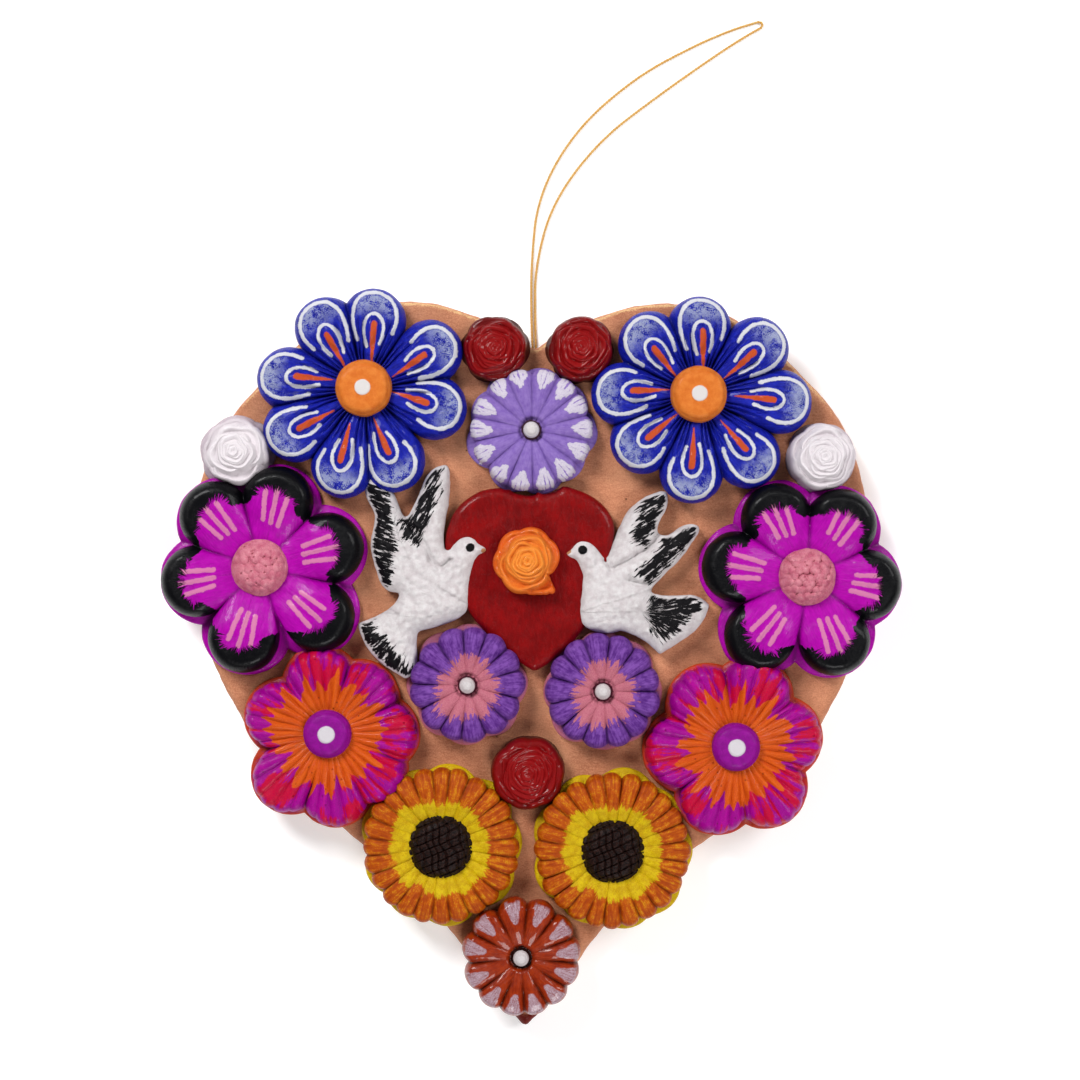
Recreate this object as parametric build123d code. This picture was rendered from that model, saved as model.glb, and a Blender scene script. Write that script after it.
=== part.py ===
from build123d import *
import math
import os

# Heart-shaped clay wall plaque, hand built from separate pieces of clay that are pressed onto a
# slab. It lies on its back: +Z is out of the front face, +Y towards the hanging thread, +X right.
# All sizes are millimetres. The origin is the centre of the clay's footprint, on the back face.

# ---- driving dimensions -------------------------------------------------------------------
PLATE_THICKNESS = 6.5
PLATE_ROUND = 1.8

# Flowers of separate petals: their height above the slab, the width of a petal, and the depth and
# the radius of the dish in the middle.
BLUE_HEIGHT, BLUE_WIDTH, BLUE_DISH = 6.8, 15.6, (2.2, 15.5)
MAGENTA_HEIGHT, MAGENTA_WIDTH, MAGENTA_DISH = 7.6, 19.0, (1.8, 13.0)
CORAL_HEIGHT, CORAL_WIDTH, CORAL_DISH = 6.8, 17.6, (1.8, 12.0)
PETAL_ROUND = 2.2
FLOWER_ROOT, ROOT_OFFSET = 2.6, 1.3
PETAL_STEP = 0.2

# Fluted flowers: radius, height above the slab, number of petals, and how much the dome rises.
SUNFLOWER_RADIUS, SUNFLOWER_HEIGHT, SUNFLOWER_PETALS, SUNFLOWER_RISE = 17.6, 6.6, 20, 0.6
PURPLE_RADIUS, PURPLE_HEIGHT, PURPLE_PETALS, PURPLE_RISE = 13.0, 6.6, 13, 1.2
LILAC_RADIUS, LILAC_HEIGHT, LILAC_PETALS, LILAC_RISE = 14.0, 5.8, 14, 0.8
RUST_RADIUS, RUST_HEIGHT, RUST_PETALS, RUST_RISE = 12.9, 6.4, 12, 1.0
LILAC_TURN, RUST_TURN = 6, 8
FLUTE_WIDTH, RIM_NOTCH, RIM_NOTCH_OUT = 1.5, 1.6, 0.35
SHOULDER_WIDTH, SHOULDER_DROP, SHOULDER_BULGE = 1.8, 1.6, 0.5

# Buttons and pellets: radius, then the height above the slab of the foot, the edge and the top.
BLUE_CENTRE = (6.1, 4.0, 6.4, 8.0)
MAGENTA_CENTRE = (6.2, 4.4, 7.0, 9.0)
CORAL_BUTTON = (4.9, 4.2, 6.6, 8.0)
SUNFLOWER_DISC = (6.7, 4.0, 6.6, 8.2)
PURPLE_PELLET = (1.75, 4.2, 6.4, 7.4)
LILAC_PELLET = (1.75, 4.2, 5.6, 6.6)
RUST_PELLET = (1.75, 4.2, 6.2, 7.2)

HEART_HEIGHT, HEART_ROUND = 3.6, 1.6
DOVE_HEIGHT, DOVE_ROUND = 5.6, 0.45
CORNER_ROUND = 0.6

RED_ROSE_RADIUS, RED_ROSE_HEIGHT = 7.3, 7.0
LOWER_ROSE_RADIUS = 8.2
WHITE_ROSE_RADIUS, WHITE_ROSE_HEIGHT = 7.4, 8.5
ORANGE_ROSE_RADIUS, ORANGE_ROSE_HEIGHT = 7.2, 6.2

WIRE_DIAMETER, WIRE_Y, WIRE_Z = 1.0, 54.0, 1.5
WIRE_HALF_SPAN, WIRE_LEG_TOP, WIRE_BEND = 11.0, 4.2, 1.2
POCKET = (16.0, 14.0, 3.0)
GROOVE_WIDTH, GROOVE_LENGTH, GROOVE_DEPTH = 2.4, 30.0, 1.4
THREAD_DIAMETER = 0.6
KNOT_CENTRE, KNOT_SIZE, KNOT_ROUND = (0.5, 57.6, 0.9), (1.9, 2.2, 1.5), 0.5

# ---- layout: where each piece sits on the slab ----------------------------------------------
# The clay is moved by this much at the end, so that the origin is in the middle of its footprint.
CENTRING = (-0.03, -0.41)
BLUE_LEFT, BLUE_RIGHT = (-35.8, 58.7), (35.9, 57.4)
LILAC = (0.1, 49.8)
MAGENTA_LEFT, MAGENTA_RIGHT = (-57.9, 20.3), (59.0, 18.4)
CORAL_LEFT, CORAL_RIGHT = (-43.5, -15.2), (43.8, -18.0)
SUNFLOWER_LEFT, SUNFLOWER_RIGHT = (-19.3, -39.4), (17.5, -40.4)
PURPLE_LEFT, PURPLE_RIGHT = (-13.6, -4.9), (15.4, -6.2)
RUST = (-2.1, -63.2)
RED_ROSE_LEFT, RED_ROSE_RIGHT, RED_ROSE_LOWER = (-7.9, 67.2), (10.7, 67.2), (-0.6, -23.9)
WHITE_ROSE_LEFT, WHITE_ROSE_RIGHT = (-63.2, 44.7), (62.6, 43.9)
ORANGE_ROSE = (-0.8, 21.8)
HANGER_X = 0.7

# Petals of the large flowers: the direction of each, in degrees, and how far its tip reaches.
BLUE_LEFT_PETALS = [(82, 21.6), (122, 22.0), (173, 23.1), (-149, 24.1),
                    (-105, 24.1), (-68, 23.5), (-15, 22.6), (29, 23.1)]
BLUE_RIGHT_PETALS = [(89, 21.1), (38, 22.8), (-5, 24.5), (-51, 24.0),
                     (-95, 23.5), (-140, 22.5), (-180, 23.0), (133, 22.0)]
MAGENTA_LEFT_PETALS = [(76, 22.2), (16, 22.6), (-40, 24.0), (-104, 23.1), (-168, 21.8), (132, 22.3)]
MAGENTA_RIGHT_PETALS = [(117, 21.5), (56, 21.1), (-8, 20.6), (-66, 22.6), (-128, 23.8), (172, 22.5)]
CORAL_LEFT_PETALS = [(99, 18.5), (47, 17.9), (-2, 19.1), (-41, 19.4), (-83, 20.2), (-132, 20.5),
                     (161, 18.4)]
CORAL_RIGHT_PETALS = [(124, 18.9), (70, 19.5), (9, 18.8), (-53, 19.8), (-110, 19.6), (-174, 19.4)]


# ---- building blocks ------------------------------------------------------------------------
def smooth_outline(*stretches):
    """A closed face whose edge is made of smooth stretches that meet at corners."""
    return make_face([Spline(*stretch) for stretch in stretches])


def slab(face, height, rounding, corner=0):
    """A face thickened upwards, with its upright corners and its top edge rounded over."""
    body = extrude(face, height)
    if corner:
        body = fillet(body.edges().filter_by(Axis.Z), corner)
    return fillet(body.edges().group_by(Axis.Z)[-1], rounding)


def cap_arc(radius, edge_z, top_z):
    """Quarter view of a shallow dome: an arc from its edge up to the axis."""
    rise = top_z - edge_z
    sphere = (radius**2 + rise**2) / (2 * rise)
    middle = top_z - sphere + math.sqrt(sphere**2 - radius**2 / 4)
    return ThreePointArc((radius, edge_z), (radius / 2, middle), (0, top_z))


def turned(*edges):
    """A solid of revolution about Z from edges drawn in X (radius) and Y (height)."""
    face = make_face(list(edges))
    return revolve(Plane.XZ * face, Axis.Z)


def standing(radius, height, foot=0):
    """An upright cylinder on the flower's axis, from its foot up."""
    return Pos(0, 0, foot) * Cylinder(radius, height, align=(Align.CENTER, Align.CENTER, Align.MIN))


def dome(centre, button):
    """A round button with a straight side and a domed top."""
    radius, bottom, edge, top = button
    side = Polyline((0, top), (0, bottom), (radius, bottom), (radius, edge))
    return Pos(*centre, PLATE_THICKNESS) * turned(side, cap_arc(radius, edge, top))


def petal(angle, length, width, height):
    """One pressed petal: a tongue that widens from the flower's middle to a round tip."""
    tip = Pos(length - width / 2, 0) * Circle(width / 2)
    root = Pos(ROOT_OFFSET, 0) * Circle(FLOWER_ROOT)
    outline = make_hull(root.edges() + tip.edges())
    return Rot(0, 0, angle) * slab(outline, height, PETAL_ROUND)


def petalled_flower(centre, petals, width, height, dish, button):
    """A flower of separate petals pressed together, hollowed towards a seat for its button."""
    tongues = []
    for index, (angle, length) in enumerate(petals):
        tongues.append(petal(angle, length, width, height - PETAL_STEP * (index % 3)))
    core = standing(width / 2, height - 1)
    body = core + tongues
    seat_radius, seat_z = button[:2]
    hollow_depth, hollow_radius = dish
    hollow = Pos(0, 0, height - hollow_depth) * Cone(
        seat_radius - 1, hollow_radius, hollow_depth + 0.01, align=(Align.CENTER, Align.CENTER, Align.MIN)
    )
    return Pos(*centre, PLATE_THICKNESS) * (body - [hollow, standing(seat_radius, height, seat_z)])


def fluted_flower(centre, radius, height, count, rise, button, turn=0):
    """A round flower: a low dome with a groove and a rim notch between each pair of petals."""
    shoulder_x, shoulder_z = radius - SHOULDER_WIDTH, height - rise
    rim_z = shoulder_z - SHOULDER_DROP
    bulge = (radius - SHOULDER_BULGE, shoulder_z - SHOULDER_BULGE)
    side = Polyline((0, height), (0, 0), (radius, 0), (radius, rim_z))
    shoulder = ThreePointArc((radius, rim_z), bulge, (shoulder_x, shoulder_z))
    crown = ThreePointArc((shoulder_x, shoulder_z), (radius / 2, height - rise / 4), (0, height))
    body = turned(side, shoulder, crown)
    slope = math.degrees(math.atan2(rise, radius))
    bar = Rot(45, 0, 0) * Box(radius, FLUTE_WIDTH, FLUTE_WIDTH)
    flute = Rot(0, slope, 0) * Pos(radius * 0.7, 0, height - rise * 0.62) * bar
    post = Rot(0, 0, 45) * Box(RIM_NOTCH, RIM_NOTCH, height * 2)
    notch = Pos(radius + RIM_NOTCH_OUT, 0, height / 2) * post
    cuts = []
    for index in range(count):
        direction = Rot(0, 0, turn + 360 / count * (index + 0.5))
        cuts.append(direction * flute)
        cuts.append(direction * notch)
    seat_radius, seat_z = button[:2]
    cuts.append(standing(seat_radius, height, seat_z))
    return Pos(*centre, PLATE_THICKNESS) * (body - cuts)


def rose(centre, radius, height, base_z):
    """A rolled strip of clay: two rings of petal edges round a small bud."""
    roll = 0.22 * radius
    ring_x, ring_z = radius - roll, 0.55 * height
    slant = roll * math.sqrt(0.5)
    rim, groove = (radius, ring_z), (ring_x - slant, ring_z + slant)
    bud_edge = (0.34 * radius, 0.86 * height)
    foot = Polyline((0, height), (0, 0), (0.86 * radius, 0), rim)
    outer = ThreePointArc(rim, (ring_x + slant, ring_z + slant), groove)
    inner = ThreePointArc(groove, (0.5 * radius, 0.95 * height), bud_edge)
    return Pos(*centre, base_z) * turned(foot, outer, inner, cap_arc(*bud_edge, height))


# ---- the slab and what hangs it -------------------------------------------------------------
def heart_plate(wire):
    """The slab: a heart with full shoulders, slightly hollow flanks and a short tip."""
    notch, tip = (0.9, 67.5), (-1.3, -79.6)
    right = [notch, (11.2, 73.5), (25.7, 77.2), (41.9, 75.1), (56.0, 64.9), (67.4, 51.1), (72.4, 37.0),
             (73.4, 19.7), (70.6, 3.5), (62.4, -14.7), (49.5, -30.0), (34.2, -41.8), (14.9, -59.0),
             (7.2, -69.8), tip]
    left = [tip, (-8.2, -71.2), (-16.4, -59.8), (-38.2, -38.4), (-52.3, -25.4), (-62.3, -13.1),
            (-69.2, 0.9), (-72.8, 19.7), (-70.6, 42.0), (-59.7, 59.3), (-43.3, 73.0), (-24.4, 77.7),
            (-7.6, 73.0), notch]
    body = Pos(*CENTRING) * slab(smooth_outline(right, left), PLATE_THICKNESS, PLATE_ROUND, CORNER_ROUND)
    pocket = Pos(HANGER_X, WIRE_Y, POCKET[2] / 2) * Box(*POCKET)
    groove = Pos(HANGER_X, WIRE_Y + GROOVE_LENGTH / 2, GROOVE_DEPTH / 2) * Box(
        GROOVE_WIDTH, GROOVE_LENGTH, GROOVE_DEPTH
    )
    return body - [pocket, groove, wire]


def hanging_wire():
    """A wire staple across the pocket, its ends bent up and buried in the clay."""
    left, right = HANGER_X - WIRE_HALF_SPAN, HANGER_X + WIRE_HALF_SPAN
    path = FilletPolyline(
        (left, WIRE_Y, WIRE_LEG_TOP),
        (left, WIRE_Y, WIRE_Z),
        (right, WIRE_Y, WIRE_Z),
        (right, WIRE_Y, WIRE_LEG_TOP),
        radius=WIRE_BEND,
    )
    section = Plane(origin=path @ 0, z_dir=path % 0) * Circle(WIRE_DIAMETER / 2)
    return sweep(section, path)


# The thread's route: out of the knot behind the slab, along the groove, up one side of the loop,
# round the fold at its end, back down the other side, over the wire, round it and to the knot.
THREAD_ROUTE = [
    (0.3, 58.5, 0.6), (0.3, 62.0, 0.4), (0.35, 67.0, 0.36), (0.0, 75.0, 0.35), (0.0, 86.0, 0.35),
    (1.4, 101.0, 0.35), (9.6, 115.6, 0.35), (23.0, 127.3, 0.35), (36.0, 134.2, 0.35),
    (43.8, 137.5, 0.35), (48.2, 138.85, 0.35), (50.4, 139.5, 0.35), (50.8, 138.2, 0.35),
    (49.0, 137.3, 0.35), (45.6, 135.3, 0.35), (39.6, 131.4, 0.35), (27.5, 122.9, 0.35),
    (14.8, 113.2, 0.35), (4.6, 99.7, 0.35), (0.85, 85.5, 0.35), (0.8, 75.0, 0.35),
    (1.05, 67.0, 0.36), (1.1, 62.4, 0.45), (1.75, 59.6, 0.95), (1.7, 56.9, 1.9),
    (1.5, 54.95, 2.35), (1.4, 53.15, 2.35), (1.2, 53.15, 0.65), (0.95, 54.95, 0.6), (0.8, 56.5, 0.66),
]


def route_radii(points):
    """The largest arc that each corner's two runs allow, and the turn it makes in degrees."""
    radii, turns = [], []
    for before, here, after in zip(points, points[1:], points[2:]):
        arriving = Vector(here) - Vector(before)
        leaving = Vector(after) - Vector(here)
        turn = arriving.get_angle(leaving)
        shorter = min(arriving.length, leaving.length)
        radii.append(0.45 * shorter / math.tan(math.radians(turn / 2)))
        turns.append(turn)
    return radii, turns


def hanging_thread():
    """The twisted thread as one plain tube along its route."""
    radii, turns = route_radii(THREAD_ROUTE)
    path = FilletPolyline(*THREAD_ROUTE, radius=radii)
    section = Plane(origin=path @ 0, z_dir=path % 0) * Circle(THREAD_DIAMETER / 2)
    tube = sweep(section, path)
    expected = math.pi * (THREAD_DIAMETER / 2) ** 2 * path.length
    print("thread radii", [round(radius, 2) for radius in radii])
    print("thread turns", [round(turn) for turn in turns])
    print("thread length", round(path.length, 1), "volume over section x length", tube.volume / expected)
    return tube


def thread_knot(thread):
    """The knot that joins the thread's two ends behind the wire, cut to take them."""
    bead = Pos(*KNOT_CENTRE) * Box(*KNOT_SIZE)
    return fillet(bead.edges(), KNOT_ROUND) - thread


# ---- figures --------------------------------------------------------------------------------
def red_heart():
    """The flat red heart at the middle."""
    notch, tip = (-0.6, 36.0), (0.8, -2.1)
    right = [notch, (6.2, 37.8), (12.7, 35.9), (17.3, 30.8), (17.6, 23.0), (14.6, 12.6), (7.3, 2.6), tip]
    left = [tip, (-4.9, 1.6), (-12.1, 9.0), (-17.2, 18.0), (-18.5, 26.0), (-16.6, 32.0), (-11.8, 36.3),
            (-6.0, 37.3), notch]
    outline = smooth_outline(right, left)
    return Pos(0, 0, PLATE_THICKNESS) * slab(outline, HEART_HEIGHT, HEART_ROUND, CORNER_ROUND)


def dove_left():
    """The dove that flies up to the right, wings raised and tail fanned."""
    tail_root, tail_high, tail_low, belly = (-28.0, 15.2), (-37.0, 8.2), (-26.8, -3.6), (-24.2, 6.5)
    beak_low, beak_high, nape, crotch = (-10.9, 22.8), (-11.3, 25.6), (-18.0, 22.8), (-27.2, 30.9)
    outline = smooth_outline(
        [crotch, (-28.7, 34.1), (-30.6, 37.6), (-34.9, 39.3), (-35.7, 37.6), (-33.6, 31.6), (-34.3, 26.2),
         (-33.4, 20.0), (-31.4, 15.8), tail_root],
        [tail_root, (-29.3, 12.5), (-32.3, 10.3), tail_high],
        [tail_high, (-36.2, 4.8), (-31.3, -0.8), tail_low],
        [tail_low, (-24.8, -1.4), (-24.6, 2.6), belly],
        [belly, (-21.2, 7.3), (-16.9, 8.8), (-13.9, 10.8), (-13.3, 15.0), (-12.8, 19.1), beak_low],
        [beak_low, (-9.4, 23.9), beak_high],
        [beak_high, (-13.7, 27.1), (-16.0, 26.0), nape],
        [nape, (-18.8, 27.3), (-18.0, 32.6), (-17.5, 39.1), (-18.2, 42.3), (-20.2, 42.0), (-24.2, 35.8),
         crotch],
    )
    return Pos(0, 0, PLATE_THICKNESS) * slab(outline, DOVE_HEIGHT, DOVE_ROUND, CORNER_ROUND)


def dove_right():
    """The dove that flies up to the left, facing the first."""
    beak_high, beak_low, belly, tail_low = (8.4, 24.3), (9.4, 21.9), (19.1, 6.7), (27.7, 1.5)
    tail_high, tail_root, crotch, nape = (38.4, 12.3), (25.5, 15.1), (27.4, 27.5), (16.1, 21.7)
    outline = smooth_outline(
        [beak_high, (7.3, 23.4), beak_low],
        [beak_low, (10.9, 18.1), (10.5, 13.3), (11.2, 8.2), (14.2, 6.5), belly],
        [belly, (22.9, 5.4), tail_low],
        [tail_low, (32.8, 4.8), (36.7, 8.6), tail_high],
        [tail_high, (35.6, 14.1), (30.9, 14.3), tail_root],
        [tail_root, (28.3, 18.3), (32.4, 22.6), (34.9, 26.2), (36.0, 29.2), (33.7, 29.6), (30.9, 27.9),
         crotch],
        [crotch, (27.9, 30.9), (29.4, 34.0), (28.9, 36.5), (26.6, 36.3), (21.2, 32.6), (18.7, 28.3), nape],
        [nape, (14.2, 24.7), (12.2, 26.0), beak_high],
    )
    return Pos(0, 0, PLATE_THICKNESS) * slab(outline, DOVE_HEIGHT, DOVE_ROUND, CORNER_ROUND)


# ---- assembly -------------------------------------------------------------------------------
def flat_box(shape):
    """A shape's lowest and highest x and y."""
    box = shape.bounding_box()
    return box.min.X, box.max.X, box.min.Y, box.max.Y


def near(first, second):
    """True where two pieces' boxes overlap."""
    a, b = flat_box(first), flat_box(second)
    return a[0] < b[1] and b[0] < a[1] and a[2] < b[3] and b[2] < a[3]


def press_together(pieces):
    """Wet clay gives way: each piece takes the shape of the earlier pieces it is pressed against."""
    settled = {}
    for name, shape in pieces.items():
        neighbours = [other for other in settled.values() if near(shape, other)]
        if neighbours:
            shape = shape - neighbours
        settled[name] = shape
    return settled


def fluted_flowers(made, name, left, right, *shape):
    """A pair of round flowers, one on each side."""
    made[name + "_left"] = fluted_flower(left, *shape)
    made[name + "_right"] = fluted_flower(right, *shape)


def petalled_flowers(made, name, left, right, *shape):
    """A pair of flowers of separate petals, each side with its own centre and petals."""
    made[name + "_left"] = petalled_flower(*left, *shape)
    made[name + "_right"] = petalled_flower(*right, *shape)


def flowers():
    """Every flower, without its centre, in the order in which they were pressed on."""
    made = {}
    lilac = (LILAC, LILAC_RADIUS, LILAC_HEIGHT, LILAC_PETALS, LILAC_RISE, LILAC_PELLET, LILAC_TURN)
    made["lilac_flower"] = fluted_flower(*lilac)
    petalled_flowers(made, "blue_flower", (BLUE_LEFT, BLUE_LEFT_PETALS), (BLUE_RIGHT, BLUE_RIGHT_PETALS),
                     BLUE_WIDTH, BLUE_HEIGHT, BLUE_DISH, BLUE_CENTRE)
    petalled_flowers(made, "magenta_flower", (MAGENTA_LEFT, MAGENTA_LEFT_PETALS),
                     (MAGENTA_RIGHT, MAGENTA_RIGHT_PETALS),
                     MAGENTA_WIDTH, MAGENTA_HEIGHT, MAGENTA_DISH, MAGENTA_CENTRE)
    rust = (RUST, RUST_RADIUS, RUST_HEIGHT, RUST_PETALS, RUST_RISE, RUST_PELLET, RUST_TURN)
    made["rust_flower"] = fluted_flower(*rust)
    fluted_flowers(made, "sunflower", SUNFLOWER_LEFT, SUNFLOWER_RIGHT,
                   SUNFLOWER_RADIUS, SUNFLOWER_HEIGHT, SUNFLOWER_PETALS, SUNFLOWER_RISE, SUNFLOWER_DISC)
    petalled_flowers(made, "coral_flower", (CORAL_LEFT, CORAL_LEFT_PETALS),
                     (CORAL_RIGHT, CORAL_RIGHT_PETALS), CORAL_WIDTH, CORAL_HEIGHT, CORAL_DISH, CORAL_BUTTON)
    fluted_flowers(made, "purple_flower", PURPLE_LEFT, PURPLE_RIGHT,
                   PURPLE_RADIUS, PURPLE_HEIGHT, PURPLE_PETALS, PURPLE_RISE, PURPLE_PELLET)
    return made


def flower_centres():
    """The buttons and pellets, each filling the seat in its flower."""
    made = {"lilac_pellet": dome(LILAC, LILAC_PELLET), "rust_pellet": dome(RUST, RUST_PELLET)}
    pairs = {
        "blue_centre": (BLUE_LEFT, BLUE_RIGHT, BLUE_CENTRE),
        "magenta_centre": (MAGENTA_LEFT, MAGENTA_RIGHT, MAGENTA_CENTRE),
        "coral_button": (CORAL_LEFT, CORAL_RIGHT, CORAL_BUTTON),
        "sunflower_disc": (SUNFLOWER_LEFT, SUNFLOWER_RIGHT, SUNFLOWER_DISC),
        "purple_pellet": (PURPLE_LEFT, PURPLE_RIGHT, PURPLE_PELLET),
    }
    for name, (left, right, button) in pairs.items():
        made[name + "_left"] = dome(left, button)
        made[name + "_right"] = dome(right, button)
    return made


def roses():
    """The rolled roses that stand on the slab."""
    base = PLATE_THICKNESS
    return {
        "red_rose_left": rose(RED_ROSE_LEFT, RED_ROSE_RADIUS, RED_ROSE_HEIGHT, base),
        "red_rose_right": rose(RED_ROSE_RIGHT, RED_ROSE_RADIUS, RED_ROSE_HEIGHT, base),
        "red_rose_lower": rose(RED_ROSE_LOWER, LOWER_ROSE_RADIUS, RED_ROSE_HEIGHT, base),
        "white_rose_left": rose(WHITE_ROSE_LEFT, WHITE_ROSE_RADIUS, WHITE_ROSE_HEIGHT, base),
        "white_rose_right": rose(WHITE_ROSE_RIGHT, WHITE_ROSE_RADIUS, WHITE_ROSE_HEIGHT, base),
    }


def main():
    os.makedirs("parts", exist_ok=True)
    flower_solids = flowers()
    front = {"lilac_flower": flower_solids.pop("lilac_flower"), "red_heart": red_heart()}
    front["dove_left"] = dove_left()
    front["dove_right"] = dove_right()
    front.update(flower_solids)
    front.update(roses())
    nodes = press_together(front)
    nodes["orange_rose"] = rose(
        ORANGE_ROSE, ORANGE_ROSE_RADIUS, ORANGE_ROSE_HEIGHT, PLATE_THICKNESS + HEART_HEIGHT
    )
    nodes.update(flower_centres())
    nodes = {name: Pos(*CENTRING) * shape for name, shape in nodes.items()}
    wire = hanging_wire()
    nodes["hanging_wire"] = wire
    nodes["heart_plate"] = heart_plate(wire)
    thread = hanging_thread()
    nodes["hanging_thread"] = thread
    nodes["thread_knot"] = thread_knot(thread)
    clay = [shape for name, shape in nodes.items() if "thread" not in name]
    boxes = [shape.bounding_box() for shape in clay]
    low = [min(box.min.X for box in boxes), min(box.min.Y for box in boxes)]
    high = [max(box.max.X for box in boxes), max(box.max.Y for box in boxes)]
    print("clay footprint", low, high, "centre", [(a + b) / 2 for a, b in zip(low, high)])
    for name, shape in nodes.items():
        export_step(shape, "parts/" + name + ".step")


main()
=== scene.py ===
import bpy
import itertools
import math
import numpy as np
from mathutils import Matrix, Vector
from mathutils.kdtree import KDTree


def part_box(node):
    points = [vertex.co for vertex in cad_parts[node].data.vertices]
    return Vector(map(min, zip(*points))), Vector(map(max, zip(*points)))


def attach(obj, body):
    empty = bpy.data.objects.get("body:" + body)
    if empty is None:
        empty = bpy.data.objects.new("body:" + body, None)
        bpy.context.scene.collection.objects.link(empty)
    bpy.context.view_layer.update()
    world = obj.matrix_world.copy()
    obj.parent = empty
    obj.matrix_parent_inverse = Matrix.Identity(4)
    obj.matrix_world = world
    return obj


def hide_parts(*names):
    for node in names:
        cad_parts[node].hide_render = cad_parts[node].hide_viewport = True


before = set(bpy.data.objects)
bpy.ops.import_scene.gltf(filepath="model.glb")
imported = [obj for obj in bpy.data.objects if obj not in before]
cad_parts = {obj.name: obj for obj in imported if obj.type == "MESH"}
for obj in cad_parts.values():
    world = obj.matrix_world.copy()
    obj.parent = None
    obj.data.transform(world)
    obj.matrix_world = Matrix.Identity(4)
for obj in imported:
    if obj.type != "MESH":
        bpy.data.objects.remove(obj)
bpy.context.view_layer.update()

# The looks of a hand-painted clay heart plaque. Shapes are worked out in millimetres and turned
# into metres when a mesh is made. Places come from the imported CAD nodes.
MM = 0.001


def middle(node):
    """The middle of a CAD node's box seen from the front, and its lowest and highest z, in mm."""
    low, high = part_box(node)
    return (low[0] + high[0]) / 2 / MM, (low[1] + high[1]) / 2 / MM, low[2] / MM, high[2] / MM


PLATE_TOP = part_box("heart_plate")[1][2] / MM


# ---- numbers over arrays ----
def value_noise(points, size, seed=0):
    """Smooth random numbers from -1 to 1 over an array of points; size is a lump's width."""
    cells = np.asarray(points, float) / size + 31.7 * seed
    base = np.floor(cells).astype(np.int64)
    part = cells - base
    part = part * part * (3 - 2 * part)
    total = np.zeros(cells.shape[:-1])
    for corner in itertools.product((0, 1), repeat=3):
        at = base + np.array(corner)
        mixed = at[..., 0] * 73856093 ^ at[..., 1] * 19349663 ^ at[..., 2] * 83492791 ^ (seed * 2654435761)
        mixed = (mixed ^ (mixed >> 13)) * 1274126177
        number = ((mixed ^ (mixed >> 16)) & 0xFFFF) / 32767.5 - 1
        total += number * np.prod(np.where(corner, part, 1 - part), axis=-1)
    return total


def lumps(points, size, amount, seed=0):
    """A random push for each point, in mm, for the unevenness of hand-pressed clay."""
    return amount * np.stack([value_noise(points, size, seed + axis) for axis in range(3)], axis=-1)


def ease(x, low, high):
    """0 below low, 1 above high and smooth between."""
    t = np.clip((x - low) / (high - low), 0, 1)
    return t * t * (3 - 2 * t)


def to_stroke(x, y, points):
    """Distance from each (x, y) to a brush line through the points."""
    nearest = np.full(np.shape(x), 1e9)
    for (ax, ay), (bx, by) in zip(points, points[1:]):
        dx, dy = bx - ax, by - ay
        along = np.clip(((x - ax) * dx + (y - ay) * dy) / (dx * dx + dy * dy), 0, 1)
        nearest = np.minimum(nearest, np.hypot(x - ax - along * dx, y - ay - along * dy))
    return nearest


def rounded(points, times=2):
    """The same brush line with its corners cut to a smooth curve."""
    points = np.array(points, float)
    for _ in range(times):
        near, far = points[:-1] * 0.75 + points[1:] * 0.25, points[:-1] * 0.25 + points[1:] * 0.75
        points = np.concatenate([points[:1], np.stack([near, far], axis=1).reshape(-1, 2), points[-1:]])
    return [tuple(point) for point in points]


def inside_distance(x, y, outline):
    """Distance to a closed outline, positive inside it."""
    distance = to_stroke(x, y, list(outline) + [outline[0]])
    inside = np.zeros(np.shape(x), bool)
    for (ax, ay), (bx, by) in zip(outline, list(outline[1:]) + [outline[0]]):
        crosses = (ay > y) != (by > y)
        with np.errstate(divide="ignore", invalid="ignore"):
            at = (bx - ax) * (y - ay) / (by - ay) + ax
        inside ^= crosses & (x < at)
    return np.where(inside, distance, -distance)


# ---- meshes ----
def make_object(name, points, quads, triangles=(), fields=None, place=(0, 0, 0)):
    """A smooth-shaded mesh from points in mm; fields hold a vector for each corner of each quad.

    The first half of the triangles takes the first corner's vector and the rest the last's."""
    points = np.asarray(points, float).reshape(-1, 3)
    quads = np.asarray(quads, np.int32).reshape(-1, 4)
    triangles = np.asarray(triangles, np.int32).reshape(-1, 3)
    corners = np.concatenate([quads.ravel(), triangles.ravel()])
    starts = np.concatenate([np.arange(len(quads)) * 4, len(quads) * 4 + np.arange(len(triangles)) * 3])
    mesh = bpy.data.meshes.new(name)
    mesh.vertices.add(len(points))
    mesh.vertices.foreach_set("co", (points * MM).astype(np.float32).ravel())
    mesh.loops.add(len(corners))
    mesh.loops.foreach_set("vertex_index", corners)
    mesh.polygons.add(len(starts))
    mesh.polygons.foreach_set("loop_start", starts.astype(np.int32))
    mesh.update(calc_edges=True)
    mesh.polygons.foreach_set("use_smooth", np.ones(len(starts), bool))
    for label, values in (fields or {}).items():
        values = np.asarray(values, float).reshape(-1, 3)
        padded = np.zeros((len(corners), 3), np.float32)
        padded[: len(values)] = values
        padded[len(values): len(values) + len(triangles) * 3 // 2] = values[0]
        padded[len(values) + len(triangles) * 3 // 2:] = values[-1]
        mesh.attributes.new(label, "FLOAT_VECTOR", "CORNER").data.foreach_set("vector", padded.ravel())
    mesh.validate()
    piece = bpy.data.objects.new(name, mesh)
    piece.location = Vector(place) * MM
    bpy.context.scene.collection.objects.link(piece)
    return piece


def settle(piece, paint, node):
    """Paints a piece, rides it on the plaque and lets it stand for its CAD node."""
    piece.data.materials.clear()
    piece.data.materials.append(paint)
    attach(piece, "root")
    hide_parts(node)


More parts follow.
